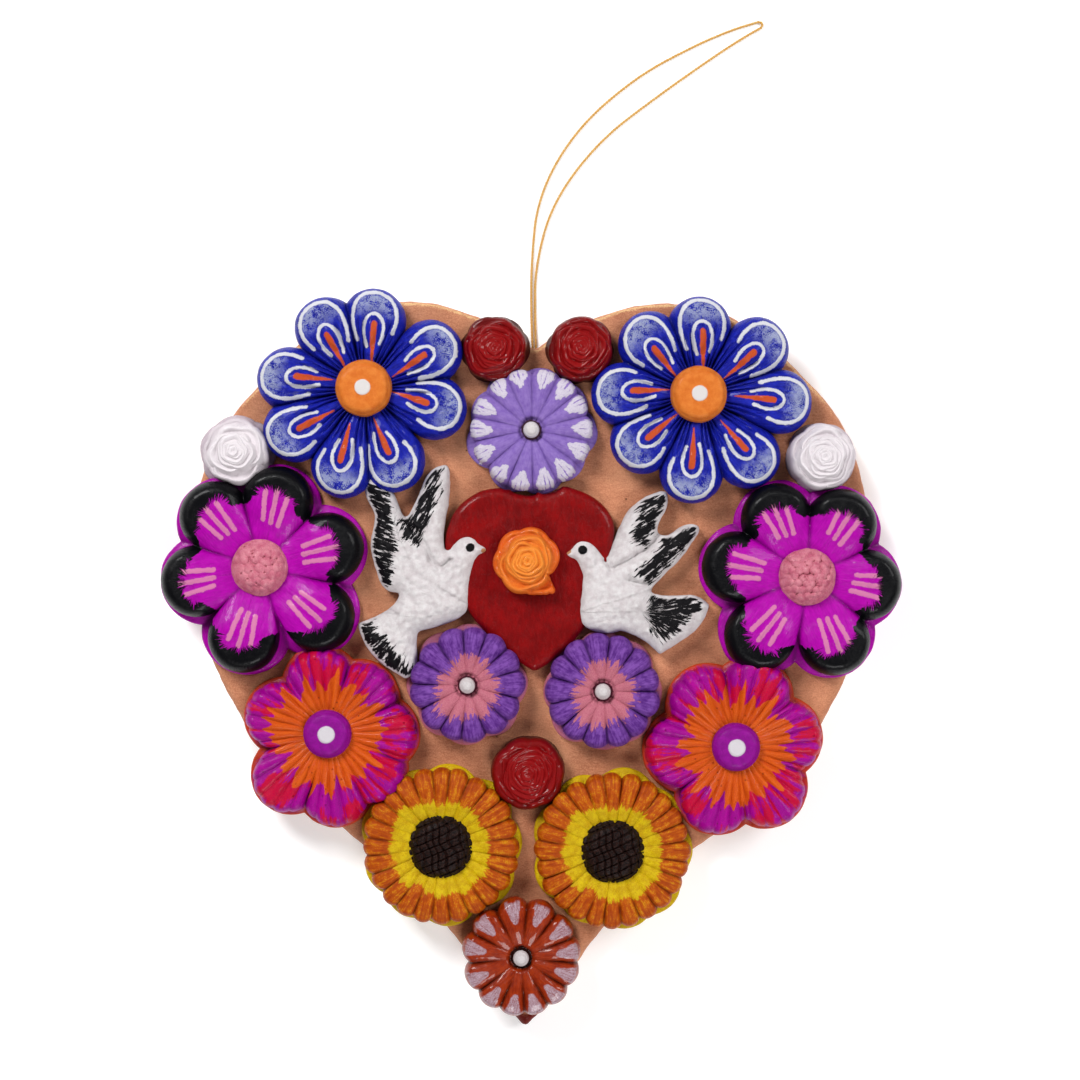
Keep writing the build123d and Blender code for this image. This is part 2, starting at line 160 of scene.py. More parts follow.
def repaint(node, paint):
    """Paints a CAD node that stays as it is."""
    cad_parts[node].data.materials.clear()
    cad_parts[node].data.materials.append(paint)


def round_grid(rings, columns):
    """Quads of a polar grid of rings, and triangles that close its middle and its foot."""
    ring, column = np.meshgrid(np.arange(rings - 1), np.arange(columns), indexing="ij")
    after = (column + 1) % columns
    quads = np.stack([ring * columns + column, (ring + 1) * columns + column,
                      (ring + 1) * columns + after, ring * columns + after], axis=-1)
    around = np.arange(columns)
    following = (around + 1) % columns
    last = (rings - 1) * columns
    top = np.stack([np.full(columns, rings * columns), around, following], axis=-1)
    foot = np.stack([np.full(columns, rings * columns + 1), last + following, last + around], axis=-1)
    return quads.reshape(-1, 4), np.concatenate([top, foot])


# ---- flowers ----
RIB_RIPPLE = 0.5


class Petals:
    """Where a flower's petals lie, in its own frame: each has a direction, a reach and a width."""

    def __init__(self, angles, reaches, width, ribs=0):
        self.ribs = ribs
        self.angles = np.radians(np.asarray(angles, float))
        self.reaches = np.asarray(reaches, float)
        self.radii = np.broadcast_to(np.asarray(width, float) / 2, self.angles.shape)
        order = np.argsort(np.mod(self.angles, 2 * np.pi))
        self.angles, self.reaches, self.radii = self.angles[order], self.reaches[order], self.radii[order]

    def limits(self, theta):
        """How far each petal's round tip reaches along each direction."""
        turn = theta[None, ...] - self.angles.reshape((-1,) + (1,) * theta.ndim)
        turn = (turn + np.pi) % (2 * np.pi) - np.pi
        radius = self.radii.reshape((-1,) + (1,) * theta.ndim)
        far = self.reaches.reshape(radius.shape) - radius
        side = far * np.sin(turn)
        reach = far * np.cos(turn) + np.sqrt(np.maximum(radius**2 - side**2, 0))
        reach = reach - 2.5 * np.maximum(np.abs(side) - radius, 0)
        return np.where(np.cos(turn) > 0.2, reach, 0), turn

    def at(self, theta):
        """The rim's radius, which petal is there, and the angle left to that petal's nearer edge."""
        reach, turn = self.limits(theta)
        owner = np.argmax(reach, axis=0)
        fine = np.linspace(-np.pi, np.pi, 3601)
        owners = np.argmax(self.limits(fine)[0], axis=0)
        edges = fine[:-1][owners[1:] != owners[:-1]]
        gaps = np.abs((theta[..., None] - edges + np.pi) % (2 * np.pi) - np.pi)
        rim = np.max(reach, axis=0)
        if self.ribs:
            own_turn = np.take_along_axis(turn, owner[None], axis=0)[0]
            rim = rim - RIB_RIPPLE * (1 - np.sqrt(np.abs(np.cos(own_turn * self.ribs))))
        return rim, owner, np.min(gaps, axis=-1)

    def local(self, x, y, owner):
        """Position across and along the petal that owns each point."""
        cosine, sine = np.cos(self.angles[owner]), np.sin(self.angles[owner])
        return y * cosine - x * sine, x * cosine + y * sine


class Ground:
    """What a height or a paint may read about each point of a flower, in mm."""

    def __init__(self, petals, x, y, owner, gap):
        self.x, self.y, self.owner = x, y, owner
        self.radius = np.hypot(x, y)
        self.across, self.along = petals.local(x, y, owner)
        self.side = np.arctan2(self.across, self.along)
        self.edge = self.radius * gap
        self.reach = petals.reaches[owner]
        self.tip = petals.radii[owner]


EDGE_RINGS = 12


def flower(node, centre, base_z, petals, height, edge, foot, paint, fields=None, skirt=None,
           columns=540, rings=84, uneven=0.12, start=0.4, seed=0):
    """A flower of pressed clay: its top from height(ground), a rolled rim and a foot profile.

    Each step of the foot is a distance out, a height, and how far it is from the rim to the skirt.
    fields(ground) gives what its paint reads besides the place on the petal."""
    theta = np.linspace(-np.pi, np.pi, columns, endpoint=False)
    rim, owner, gap = petals.at(theta)
    hem = rim if skirt is None else skirt.at(theta)[0]
    turn = np.linspace(0, np.pi / 2, EDGE_RINGS)[1:, None]
    lower = np.array(foot)
    radius = np.concatenate([start + (rim - edge - start) * np.linspace(0, 1, rings)[:, None],
                             rim - edge + edge * np.sin(turn),
                             rim + (hem - rim) * lower[1:, 2:] + lower[1:, :1]])
    x, y = radius * np.cos(theta), radius * np.sin(theta)
    owners, gaps = np.broadcast_to(owner, radius.shape), np.broadcast_to(gap, radius.shape)
    top = height(Ground(petals, x[:rings], y[:rings], owners[:rings], gaps[:rings]))
    roll = foot[0][1] + (top[-1] - foot[0][1]) * np.cos(turn)
    z = np.concatenate([top, roll, np.broadcast_to(lower[1:, 1:2], (len(lower) - 1, columns))])
    points = np.stack([x, y, z], axis=-1)
    push = lumps(points, 3.2, uneven, seed) + lumps(points, 0.9, uneven * 0.3, seed + 5)
    push[-1] = 0
    points = points + push
    flat = np.concatenate([points.reshape(-1, 3), [points[0].mean(axis=0)], [[0, 0, foot[-1][1]]]])
    quads, caps = round_grid(len(radius), columns)
    owners = np.broadcast_to(owner[quads[:, :1] % columns], quads.shape)
    ground = Ground(petals, flat[quads, 0], flat[quads, 1], owners, gap[quads % columns])
    marks = {"petal": (ground.across, ground.along, ground.owner),
             "fan": (ground.radius, ground.edge, ground.side * 12)}
    marks.update(fields(ground) if fields else {})
    values = {label: np.stack(np.broadcast_arrays(*mark), axis=-1) for label, mark in marks.items()}
    piece = make_object(node + "_clay", flat, quads, caps, values, (*centre, base_z))
    settle(piece, paint, node)


def crease(edge, width, depth):
    """How far a plump petal's surface sinks towards the line between two petals."""
    return depth * (1 - np.sqrt(1 - (1 - np.clip(edge / width, 0, 1)) ** 2))


def groove(distance, width, depth):
    """A pressed line."""
    return depth * np.exp(-((distance / width) ** 2))


# ---- paints ----
class Value:
    """A number in a material's node tree that takes ordinary arithmetic."""

    def __init__(self, paint, socket):
        self.paint, self.socket = paint, socket

    def step(self, low, high):
        """0 at low, 1 at high, smooth between; low may be the larger."""
        made = self.paint.node("ShaderNodeMapRange", (("Value", self), ("From Min", low), ("From Max", high)),
                               interpolation_type="SMOOTHSTEP")
        return Value(self.paint, made.outputs["Result"])


def arithmetic(operation, swapped=False):
    def method(self, other):
        return self.paint.math(operation, *((other, self) if swapped else (self, other)))
    return method


for sign, operation in (("add", "ADD"), ("sub", "SUBTRACT"), ("mul", "MULTIPLY")):
    setattr(Value, f"__{sign}__", arithmetic(operation))
    setattr(Value, f"__r{sign}__", arithmetic(operation, swapped=True))

BRIGHTNESS = 0.70


def colour(red, green, blue):
    """A colour as it looks in the studio's light, 0 to 255, as the renderer's linear numbers."""
    shown = np.array([red, green, blue]) / 255
    linear = np.where(shown <= 0.04045, shown / 12.92, ((shown + 0.055) / 1.055) ** 2.4)
    return (*(float(part) * BRIGHTNESS for part in linear), 1.0)


class Paint:
    """One procedural material while it is being put together; base is its colour so far."""

    def __init__(self, name):
        self.material = bpy.data.materials.new(name)
        self.material.use_nodes = True
        self.tree = self.material.node_tree
        self.shader = self.tree.nodes["Principled BSDF"]
        coordinates = self.node("ShaderNodeTexCoord")
        self.place = self.scaled(coordinates.outputs["Object"], [1 / MM] * 3)
        self.base = None

    def node(self, kind, inputs=(), **settings):
        """A new node; inputs are pairs of a socket's name or place and what goes into it."""
        made = self.tree.nodes.new(kind)
        for key, value in settings.items():
            setattr(made, key, value)
        for socket, value in inputs:
            self.feed(made.inputs[socket], value)
        return made

    def feed(self, socket, value):
        """Connects a socket or Value, or sets a number, a list, or a tuple as a colour of 0 to 255."""
        if isinstance(value, Value):
            value = value.socket
        if isinstance(value, bpy.types.NodeSocket):
            self.tree.links.new(value, socket)
        elif isinstance(value, tuple) and len(value) == 3:
            socket.default_value = colour(*value)
        else:
            socket.default_value = value

    def math(self, operation, *inputs):
        return Value(self, self.node("ShaderNodeMath", enumerate(inputs), operation=operation).outputs[0])

    def scaled(self, vector, factors):
        return self.node("ShaderNodeVectorMath", ((0, vector), (1, factors)), operation="MULTIPLY").outputs[0]

    def joined(self, *numbers):
        return self.node("ShaderNodeCombineXYZ", enumerate(numbers)).outputs[0]

    def parts(self, vector):
        return [Value(self, socket) for socket in self.node("ShaderNodeSeparateXYZ", ((0, vector),)).outputs]

    def height(self):
        return self.parts(self.place)[2]

    def field(self, name):
        """The three numbers that a mesh carries under that name."""
        return self.parts(self.node("ShaderNodeAttribute", attribute_name=name).outputs["Vector"])

    def noise(self, vector, scale, detail=3.0, roughness=0.55, warp=0.0):
        """Smooth noise about 0, seldom past 0.3 either way."""
        made = self.node("ShaderNodeTexNoise", (("Vector", vector), ("Scale", scale), ("Detail", detail),
                                                ("Roughness", roughness), ("Distortion", warp)))
        return Value(self, made.outputs["Fac"]) - 0.5

    def grain(self, coarse, fine=4.5):
        """Blotches and fine grain."""
        return self.noise(self.place, coarse, 2), self.noise(self.place, fine, 3)

    def brushed(self, fineness=3.2, stretch=0.14):
        """Bristle marks that run along a flower's petals."""
        across, along, petal = self.field("petal")
        return self.noise(self.joined(across, along * stretch, petal * 7.0), fineness, 4.0, 0.65)

    def each_petal(self):
        """A number for each petal."""
        return self.noise(self.joined(self.field("petal")[2] * 3.7, 0.0, 0.0), 1.0, 0.0)

    def cells(self, scale):
        """Distance to the nearest of scattered points."""
        made = self.node("ShaderNodeTexVoronoi", (("Vector", self.place), ("Scale", scale)))
        return Value(self, made.outputs["Distance"])

    def mix(self, factor, first, second):
        inputs = ((0, factor), (6, first), (7, second))
        return self.node("ShaderNodeMix", inputs, data_type="RGBA").outputs[2]

    def layer(self, cover, tint):
        """Paints over the colour so far, where cover is above 0."""
        self.base = self.mix(cover, self.base, tint)

    def finish(self, roughness, relief=None, depth=0.0, coat=0.0, metallic=0.0):
        """Sets the shader; a relief of 0 to 1 stands for depth mm."""
        if relief is not None:
            inputs = (("Strength", 1.0), ("Distance", depth * MM), ("Height", relief))
            bump = self.node("ShaderNodeBump", inputs)
            self.feed(self.shader.inputs["Normal"], bump.outputs[0])
        for label, value in (("Base Color", self.base), ("Roughness", roughness), ("Specular IOR Level", 0.10),
                             ("Coat Weight", coat), ("Coat Roughness", 0.09), ("Metallic", metallic)):
            self.feed(self.shader.inputs[label], value)
        return self.material


# ---- camera, light and floor ----
VIEW_CENTRE = (1.92, 25.79)
VIEW_DISTANCE = 450.0
VIEW_WIDTH = 233.5
SENSOR = 36.0

camera_data = bpy.data.cameras.new("camera")
camera_data.sensor_width = SENSOR
camera_data.lens = SENSOR * VIEW_DISTANCE / VIEW_WIDTH
camera_data.clip_start = 0.01
camera = bpy.data.objects.new("camera", camera_data)
camera.location = Vector((*VIEW_CENTRE, PLATE_TOP + VIEW_DISTANCE)) * MM
bpy.context.scene.collection.objects.link(camera)
bpy.context.scene.camera = camera


def softbox(name, place, size, power):
    """A square studio light that points at the middle of the plaque."""
    data = bpy.data.lights.new(name, "AREA")
    data.size = size * MM
    data.energy = power
    light = bpy.data.objects.new(name, data)
    light.location = Vector(place) * MM
    light.rotation_euler = Vector(place).to_track_quat("Z", "Y").to_euler()
    bpy.context.scene.collection.objects.link(light)


softbox("key_light", (-330, 430, 480), 240, 5.0)
softbox("side_light", (500, 260, 440), 280, 2.6)
softbox("low_light", (120, -540, 470), 280, 3.0)
world = bpy.data.worlds.new("studio")
bpy.context.scene.world = world
world.use_nodes = True
sky = world.node_tree.nodes["Background"]
sky.inputs["Color"].default_value = (1, 1, 1, 1)
sky.inputs["Strength"].default_value = 0.17
bpy.context.scene.view_settings.view_transform = "Standard"


def floor_paint():
    paint = Paint("floor_paper")
    clouds = paint.noise(paint.place, 0.02, 2) + 0.5
    paint.base = paint.mix(clouds, (0.93, 0.93, 0.93, 1), (0.95, 0.95, 0.95, 1))
    paint.shader.inputs["Emission Color"].default_value = (1, 1, 1, 1)
    paint.shader.inputs["Emission Strength"].default_value = 0.16
    return paint.finish(0.9)


FLOOR_HALF = 2500.0
FLOOR_DROP = 0.02
floor_corners = [(x * FLOOR_HALF, y * FLOOR_HALF, 0) for x, y in ((-1, -1), (1, -1), (1, 1), (-1, 1))]
floor = make_object("floor", floor_corners, [(0, 1, 2, 3)], place=(0, 0, -FLOOR_DROP))
floor.data.materials.append(floor_paint())

# ---- the hanging thread ----
THREAD_ROUTE = [
    (0.3, 58.5, 0.6), (0.3, 62, 0.4), (0.35, 67, 0.36), (0, 75, 0.35), (0, 86, 0.35), (1.4, 101, 0.35),
    (9.6, 115.6, 0.35), (23, 127.3, 0.35), (36, 134.2, 0.35), (43.8, 137.5, 0.35), (48.2, 138.85, 0.35),
    (50.4, 139.5, 0.35), (50.8, 138.2, 0.35), (49, 137.3, 0.35), (45.6, 135.3, 0.35), (39.6, 131.4, 0.35),
    (27.5, 122.9, 0.35), (14.8, 113.2, 0.35), (4.6, 99.7, 0.35), (0.85, 85.5, 0.35), (0.8, 75, 0.35),
    (1.05, 67, 0.36), (1.1, 62.4, 0.45), (1.75, 59.6, 0.95), (1.7, 56.9, 1.9), (1.5, 54.95, 2.35),
    (1.4, 53.15, 2.35), (1.2, 53.15, 0.65), (0.95, 54.95, 0.6), (0.8, 56.5, 0.66),
]
THREAD_SPACING = 0.16
STRAND_RADIUS = 0.165
STRAND_OFFSET = 0.135
TWIST_PITCH = 1.35


def route_line(route):
    """Points along the smooth line that the route's points control."""
    curve = bpy.data.curves.new("thread_route", "CURVE")
    curve.dimensions = "3D"
    curve.resolution_u = 24
    spline = curve.splines.new("NURBS")
    spline.points.add(len(route) - 1)
    for control, place in zip(spline.points, route):
        control.co = (*place, 1)
    spline.order_u = 3
    spline.use_endpoint_u = True
    holder = bpy.data.objects.new("thread_route", curve)
    line = bpy.data.meshes.new_from_object(holder)
    points = np.array([vertex.co[:] for vertex in line.vertices])
    bpy.data.objects.remove(holder)
    bpy.data.curves.remove(curve)
    bpy.data.meshes.remove(line)
    return points


def evenly(points, spacing):
    """The same line with its points at even distances, and each point's distance along it."""
    run = np.concatenate([[0], np.cumsum(np.linalg.norm(np.diff(points, axis=0), axis=1))])
    keep = np.concatenate([[True], np.diff(run) > 1e-6])
    wanted = np.linspace(0, run[-1], int(run[-1] / spacing) + 1)
    return np.stack([np.interp(wanted, run[keep], points[keep, axis]) for axis in range(3)], axis=1), wanted


def side_frames(points):
    """Two directions square to the line at each point, turned as little as possible along it."""
    along = np.gradient(points, axis=0)
    along /= np.linalg.norm(along, axis=1)[:, None]
    first = np.zeros_like(points)
    side = np.cross(along[0], (0, 0, 1))
    for index, direction in enumerate(along):
        side = side - direction * side.dot(direction)
        side /= np.linalg.norm(side)
        first[index] = side
    return first, np.cross(along, first)


def tube(points, radius, sides):
    """Points and quads of a round tube along a line."""
    first, second = side_frames(points)
    turn = np.linspace(0, 2 * np.pi, sides, endpoint=False)
    ring = (first[:, None] * np.cos(turn)[:, None] + second[:, None] * np.sin(turn)[:, None]) * radius
    shell = (points[:, None] + ring).reshape(-1, 3)
    quads, caps = round_grid(len(points), sides)
    return np.concatenate([shell, points[:1], points[-1:]]), quads, caps


def thread_paint():
    paint = Paint("gold_thread_fibre")
    glint = paint.noise(paint.place, 6.0, 1).step(0.0, 0.25)
    paint.base = paint.mix(paint.noise(paint.place, 2.5, 3) + 0.5, (206, 140, 50), (250, 200, 110))
    paint.layer(glint, (255, 230, 170))
    return paint.finish(0.4, metallic=0.2)


def make_thread():
    """Two strands wound round each other along the thread's route."""
    line, run = evenly(route_line(THREAD_ROUTE), THREAD_SPACING)
    first, second = side_frames(line)
    shells, quads, caps, total = [], [], [], 0
    for phase in (0, np.pi):
        turn = run / TWIST_PITCH * 2 * np.pi + phase
        wound = line + STRAND_OFFSET * (first * np.cos(turn)[:, None] + second * np.sin(turn)[:, None])
        shell, faces, ends = tube(wound, STRAND_RADIUS, 8)
        shells.append(shell)
        quads.append(faces + total)
        caps.append(ends + total)
        total += len(shell)
    thread = make_object("gold_thread", np.concatenate(shells), np.concatenate(quads), np.concatenate(caps))
    paint = thread_paint()
    settle(thread, paint, "hanging_thread")
    repaint("thread_knot", paint)


make_thread()


# ---- blue flowers ----
# A brush stroke's points are across a petal and, from its tip, along it.
OUTER_STROKE = rounded([(-3.4, -11.6), (-4.3, -9.4), (-4.9, -6.4), (-4.3, -3.6), (-2.6, -1.7), (0.2, -1.1),
                        (3.0, -2.0), (4.7, -4.4), (4.8, -7.2), (4.0, -9.4)])
INNER_STROKE = rounded([(-1.3, -13.2), (-1.9, -11.2), (-2.2, -8.8), (-1.4, -6.6), (0.1, -5.9), (1.6, -6.8),
                        (2.2, -9.0), (1.9, -11.0), (1.4, -12.4)])
MIDDLE_STROKE = [(0.1, -8.3), (0, -12.5), (0, -16.5)]


def blue_height(g):
    z = 6.7 - 2.0 * (1 - ease(g.radius, 4, 14)) - 0.014 * g.across**2
    z -= crease(g.edge, 3.3, 2.9) * ease(g.radius, 1, 11)
    turn = g.edge / g.radius
    for line in (0.0, 0.11, 0.21):
        z -= groove(turn - line, 0.026, 0.85) * (1 - ease(g.radius, 9 + 20 * line, 12.5 + 20 * line))
    teardrop = np.hypot(g.across / 1.75, (g.along - g.reach + 9.2) / 3.4)
    z += 0.5 * (1 - ease(teardrop, 0.4, 1.0)) - groove(teardrop - 1.12, 0.22, 0.3)
    return z + groove(to_stroke(g.across, g.along - g.reach, OUTER_STROKE), 0.5, 0.12)


def blue_fields(g):
    """Brush strokes, mirrored on every other petal and leaning a little on each."""
    back = g.along - g.reach
    across = g.across + 0.06 * np.sin(g.owner * 2.3 + g.reach) * back
    across = np.where(g.owner % 2 == 0, across, -across)
    drop = 0.5 * np.sin(g.owner * 1.7)
    outer = to_stroke(across, back - 0.3 * drop, OUTER_STROKE)
    inner = to_stroke(across, back - drop, INNER_STROKE)
    orange = to_stroke(across, back - drop, MIDDLE_STROKE) + 0.10 * np.maximum(-back - 11, 0)
    between = np.minimum(inside_distance(across, back, OUTER_STROKE),
                         -inside_distance(across, back - drop, INNER_STROKE))
    return {"strokes": (outer, inner, orange), "wash": (between, -back, 0)}


def blue_paint():
    paint = Paint("blue_flower_paint")
    outer, inner, orange = paint.field("strokes")
    wash, back, _ = paint.field("wash")
    edge = paint.field("fan")[1]
    wobble, fine = paint.grain(0.8)
    hair = paint.brushed()
    paint.base = paint.mix((hair + wobble * 0.5).step(-0.25, 0.3), (14, 20, 142), (30, 44, 196))
    # painted shade: darker blue along the creases between the petals
    paint.layer(edge.step(0.7, 0.0) * 0.5, (8, 8, 66))
    patchy = paint.noise(paint.place, 0.45, 3, 0.6)
    milky = (wash + fine * 1.6).step(0.0, 0.9) * (back + patchy * 6.0 + fine * 1.5).step(7.6, 3.4)
    milky = milky * (patchy + fine * 1.1 + wobble * 0.7).step(-0.2, 0.16)
    paint.layer(milky * 0.82, (182, 190, 214))
    ragged = wobble * 0.5 + fine * 0.4
    white = (paint.math("MINIMUM", outer, inner + 0.04) + ragged).step(0.5, 0.3)
    paint.layer(white * fine.step(-0.38, -0.14), (232, 232, 240))
    paint.layer((orange + ragged * 0.9).step(0.78, 0.55) * fine.step(-0.36, -0.1), (214, 86, 38))
    return paint.finish(0.34, hair * 0.5 + white * 0.7 + fine, 0.24, coat=0.1)


# ---- magenta flowers ----
def magenta_height(g):
    z = 7.5 - 2.0 * (1 - ease(g.radius, 4, 15)) - 0.010 * g.across**2
    z -= crease(g.edge, 4.0, 3.6) * ease(g.radius, 5, 17)
    for lane in (-2.4, 0.0, 2.4):
        z += groove(to_stroke(g.across, g.along, [(lane * 0.8, 10.5), (lane, 16.5)]), 0.55, 0.12)
    return z


def magenta_fields(g):
    """The black band along a petal's round tip, and three pink strokes on each petal."""
    beyond = g.along - (g.reach - g.tip)
    from_rim = g.tip - np.hypot(g.across, np.maximum(beyond, 0))
    arc = g.tip * np.arctan2(g.across, np.maximum(beyond, 0.01))
    slant = np.abs(arc / g.tip - 0.3 * np.sin(g.owner * 2.4 + g.reach))
    band = 5.2 * (1 - 0.4 * ease(slant, 0.4, 1.6)) - 3.4 * ease(-beyond, 0.0, 4.0)
    across = g.across + 0.05 * np.sin(g.owner * 3.1 + g.reach * 2) * (g.along - 13)
    strokes = [to_stroke(across, g.along, [(lane * 0.72, 9.9 + 0.5 * math.sin(lane * 3)),
                                           (lane * 1.05, 16.6 + 0.6 * math.cos(lane * 5) - 0.3 * abs(lane))])
               for lane in (-2.35, 0.0, 2.35)]
    return {"band": (band - from_rim, arc, from_rim), "strokes": (np.minimum.reduce(strokes), 0, 0)}


def magenta_paint():
    paint = Paint("magenta_flower_paint")
    band, arc, from_rim = paint.field("band")
    petal, edge, pink = paint.field("petal")[2], paint.field("fan")[1], paint.field("strokes")[0]
    wobble, fine = paint.grain(0.8)
    hair = paint.brushed()
    bristle = paint.noise(paint.joined(arc, from_rim * 0.14, petal * 5.0), 2.1, 4.0, 0.7)
    paint.base = paint.mix((hair + wobble * 0.4).step(-0.3, 0.3), (168, 0, 160), (196, 8, 184))
    # painted shade: dark purple along the creases between the petals
    paint.layer(edge.step(0.8, 0.0) * 0.5, (84, 0, 84))
    paint.layer((pink + wobble * 0.5 + fine * 0.4).step(0.6, 0.4), (220, 128, 176))
    black = (band + bristle * 7.0 + wobble * 1.4).step(-0.15, 0.2)
    black = black * (paint.height() + fine * 0.6).step(2.1, 2.5)
    paint.layer(black, (6, 6, 10))
    return paint.finish(0.36, hair * 0.6 + black * 0.5 + bristle * 0.6, 0.18, coat=0.08)


# ---- coral flowers ----
CORAL_RIBS = 17.5


def coral_height(g):
    z = 6.7 - 1.5 * (1 - ease(g.radius, 4, 13)) - 0.012 * g.across**2
    z -= crease(g.edge, 2.2, 1.9) * ease(g.radius, 7, 14)
    return z - 0.85 * (1 - np.sqrt(np.abs(np.cos(g.side * CORAL_RIBS)))) * ease(g.radius, 3, 11)


def coral_paint():
    paint = Paint("coral_flower_paint")
    petal = paint.field("petal")[2]
    radius, edge, side = paint.field("fan")
    wobble, fine = paint.grain(0.7)
    spikes = paint.noise(paint.joined(side, radius * 0.1, petal * 5.0), 0.62, 1.2, 0.45)
    streak = paint.noise(paint.joined(side, radius * 0.12, petal * 3.0), 0.9, 3.0, 0.6)
    patch = paint.noise(paint.place, 0.13, 2.0)
    inner = paint.mix((streak + fine).step(-0.3, 0.35), (206, 70, 10), (234, 104, 24))
    purple = paint.mix((fine + streak).step(-0.3, 0.3), (150, 0, 134), (192, 4, 160))
    crimson = paint.mix(fine.step(-0.3, 0.3), (182, 0, 62), (218, 6, 58))
    outer = paint.mix((patch * 1.1 + streak * 1.1 + fine * 0.2).step(0.02, 0.12), purple, crimson)
    reach = radius + spikes * 13.0 + wobble * 1.8 + fine * 1.2 + patch * 4.0
    paint.base = paint.mix(reach.step(11.3, 11.7), inner, outer)
    # painted shade: dark crimson along the creases between the outer petals
    paint.layer(edge.step(0.5, 0.0) * radius.step(11, 14) * 0.5, (92, 4, 44))
    # painted shade: dark dots in the little pricked pits, where the relief also sinks
    pricks = paint.cells(0.5).step(0.12, 0.05)
    paint.layer(pricks * 0.5, (110, 20, 20))
    paint.layer((paint.height() + fine * 0.6).step(1.9, 1.4), (206, 70, 30))
    return paint.finish(0.38, streak * 0.8 + fine * 0.6 - pricks, 0.2, coat=0.08)


# ---- flowers with many petals ----
PELLET_RING = 2.3


def ring_of_petals(count, reach, seed, turn=0.0, width=None, uneven=0.012):
    """Many petals side by side, each a little off its even place."""
    draw = np.random.default_rng(seed)
    step = 360 / count
    angles = turn + np.arange(count) * step + draw.uniform(-0.1, 0.1, count) * step
    reaches = reach * (1 - draw.uniform(0, 2 * uneven, count))
    return Petals(angles, reaches, width or 2 * math.pi * reach / count * 1.12)


def sunflower_height(g):
    z = 6.5 - 1.3 * (1 - ease(g.radius, 6, 11.5)) - 1.2 * ease(g.radius, 12.5, 18)
    z -= crease(g.edge, 0.9, 1.15) * (0.35 + 0.65 * ease(g.radius, 8, 14))
    return z + 0.25 * np.sin(g.owner * 5.3)


def sunflower_paint():
    paint = Paint("sunflower_paint")
    radius, edge, _ = paint.field("fan")
    wobble, fine = paint.grain(0.7)
    hair = paint.brushed(1.6, 0.12)
    gold = paint.mix((fine + wobble).step(-0.3, 0.3), (204, 160, 4), (232, 200, 18))
    paint.base = paint.mix((hair + wobble * 0.5).step(-0.25, 0.25), (164, 60, 4), (212, 100, 10))
    paint.layer((hair * 1.2 + fine + wobble * 0.8).step(0.06, 0.3) * 0.75, (222, 156, 18))
    paint.layer((radius + hair * 4.5 + wobble * 1.5 + paint.each_petal() * 5.0).step(10.7, 10.2), gold)
    # painted shade: dark brown in the grooves between the outer petals
    paint.layer(edge.step(0.34, 0.05) * radius.step(9.5, 13) * 0.55, (80, 26, 4))
    paint.layer((paint.height() + fine * 0.9 + hair).step(2.5, 1.9), gold)
    return paint.finish(0.42, hair + fine * 0.6, 0.22)


def small_height(top, width, depth):
    """Height of a small fluted flower with a pressed ring round its pellet."""
    def height(g):
        z = top - 0.9 * (1 - ease(g.radius, 2, 7)) - 0.6 * ease(g.radius, 9.5, 13)
        z -= crease(g.edge, width, depth) * (0.25 + 0.75 * ease(g.radius, 3, 10))
        return z - groove(g.radius - PELLET_RING, 0.4, 0.9)
    return height


def lilac_fields(g):
    """Four brush prongs near each petal's tip."""
    across = g.across + 0.08 * np.sin(g.owner * 2.9) * (g.along - 11)
    shift = 0.5 * np.sin(g.owner * 5.1)
    prongs = [to_stroke(across, g.along, [(lane * 0.5, start + shift), (lane, 11.6), (lane * 0.9, 12.7)])
              for lane, start in ((-1.5, 10.4), (-0.6, 9.4), (0.5, 9.0), (1.5, 9.9))]
    return {"strokes": (np.minimum.reduce(prongs), 0, 0)}


def lilac_paint():
    paint = Paint("lilac_flower_paint")
    radius, edge, _ = paint.field("fan")
    prong = paint.field("strokes")[0]
    wobble, fine = paint.grain(0.9)
    hair = paint.brushed()
    paint.base = paint.mix((hair + wobble).step(-0.4, 0.4), (130, 98, 184), (156, 126, 202))
    # painted shade: darker lilac along the creases between the petals
    paint.layer(edge.step(0.4, 0.0) * 0.35, (90, 60, 140))
    marks = (prong + wobble * 0.5 + fine * 0.3 + hair * 1.3).step(0.5, 0.36) * edge.step(0.15, 0.4)
    paint.layer(marks * (0.88 + fine * 1.2), (226, 218, 230))
    # painted shade: a dark ring in the pressed gap round the pellet
    paint.layer((radius + wobble * 0.6).step(2.4, 2.0), (70, 40, 48))
    return paint.finish(0.5, hair + fine * 0.6 + marks * 0.4, 0.15)


def purple_paint():
    paint = Paint("purple_flower_paint")
    radius, edge, _ = paint.field("fan")
    wobble, fine = paint.grain(0.8)
    hair = paint.brushed(2.2, 0.12)
    pink = paint.mix(fine.step(-0.3, 0.3), (188, 92, 118), (214, 134, 146))
    paint.base = paint.mix((hair + wobble * 0.8).step(-0.3, 0.3), (86, 34, 128), (138, 84, 180))
    # painted shade: dark violet along the creases between the outer petals
    paint.layer(edge.step(0.5, 0.0) * radius.step(5.0, 8.0) * 0.6, (48, 12, 74))
    paint.layer((radius + hair * 9.0 + wobble * 2.4 + paint.each_petal() * 6.0).step(6.9, 6.6), pink)
    paint.layer((paint.height() + fine * 0.6).step(1.9, 1.4), pink)
    # painted shade: a dark ring in the pressed gap round the pellet
    paint.layer((radius + wobble * 0.5).step(2.3, 2.0), (74, 22, 40))
    return paint.finish(0.48, hair + fine * 0.6, 0.18)


def rust_fields(g):
    return {"strokes": (to_stroke(g.across, g.along, [(0, 8.0), (0, 11.3)]) - 0.3 * (g.along - 9.6), 0, 0)}


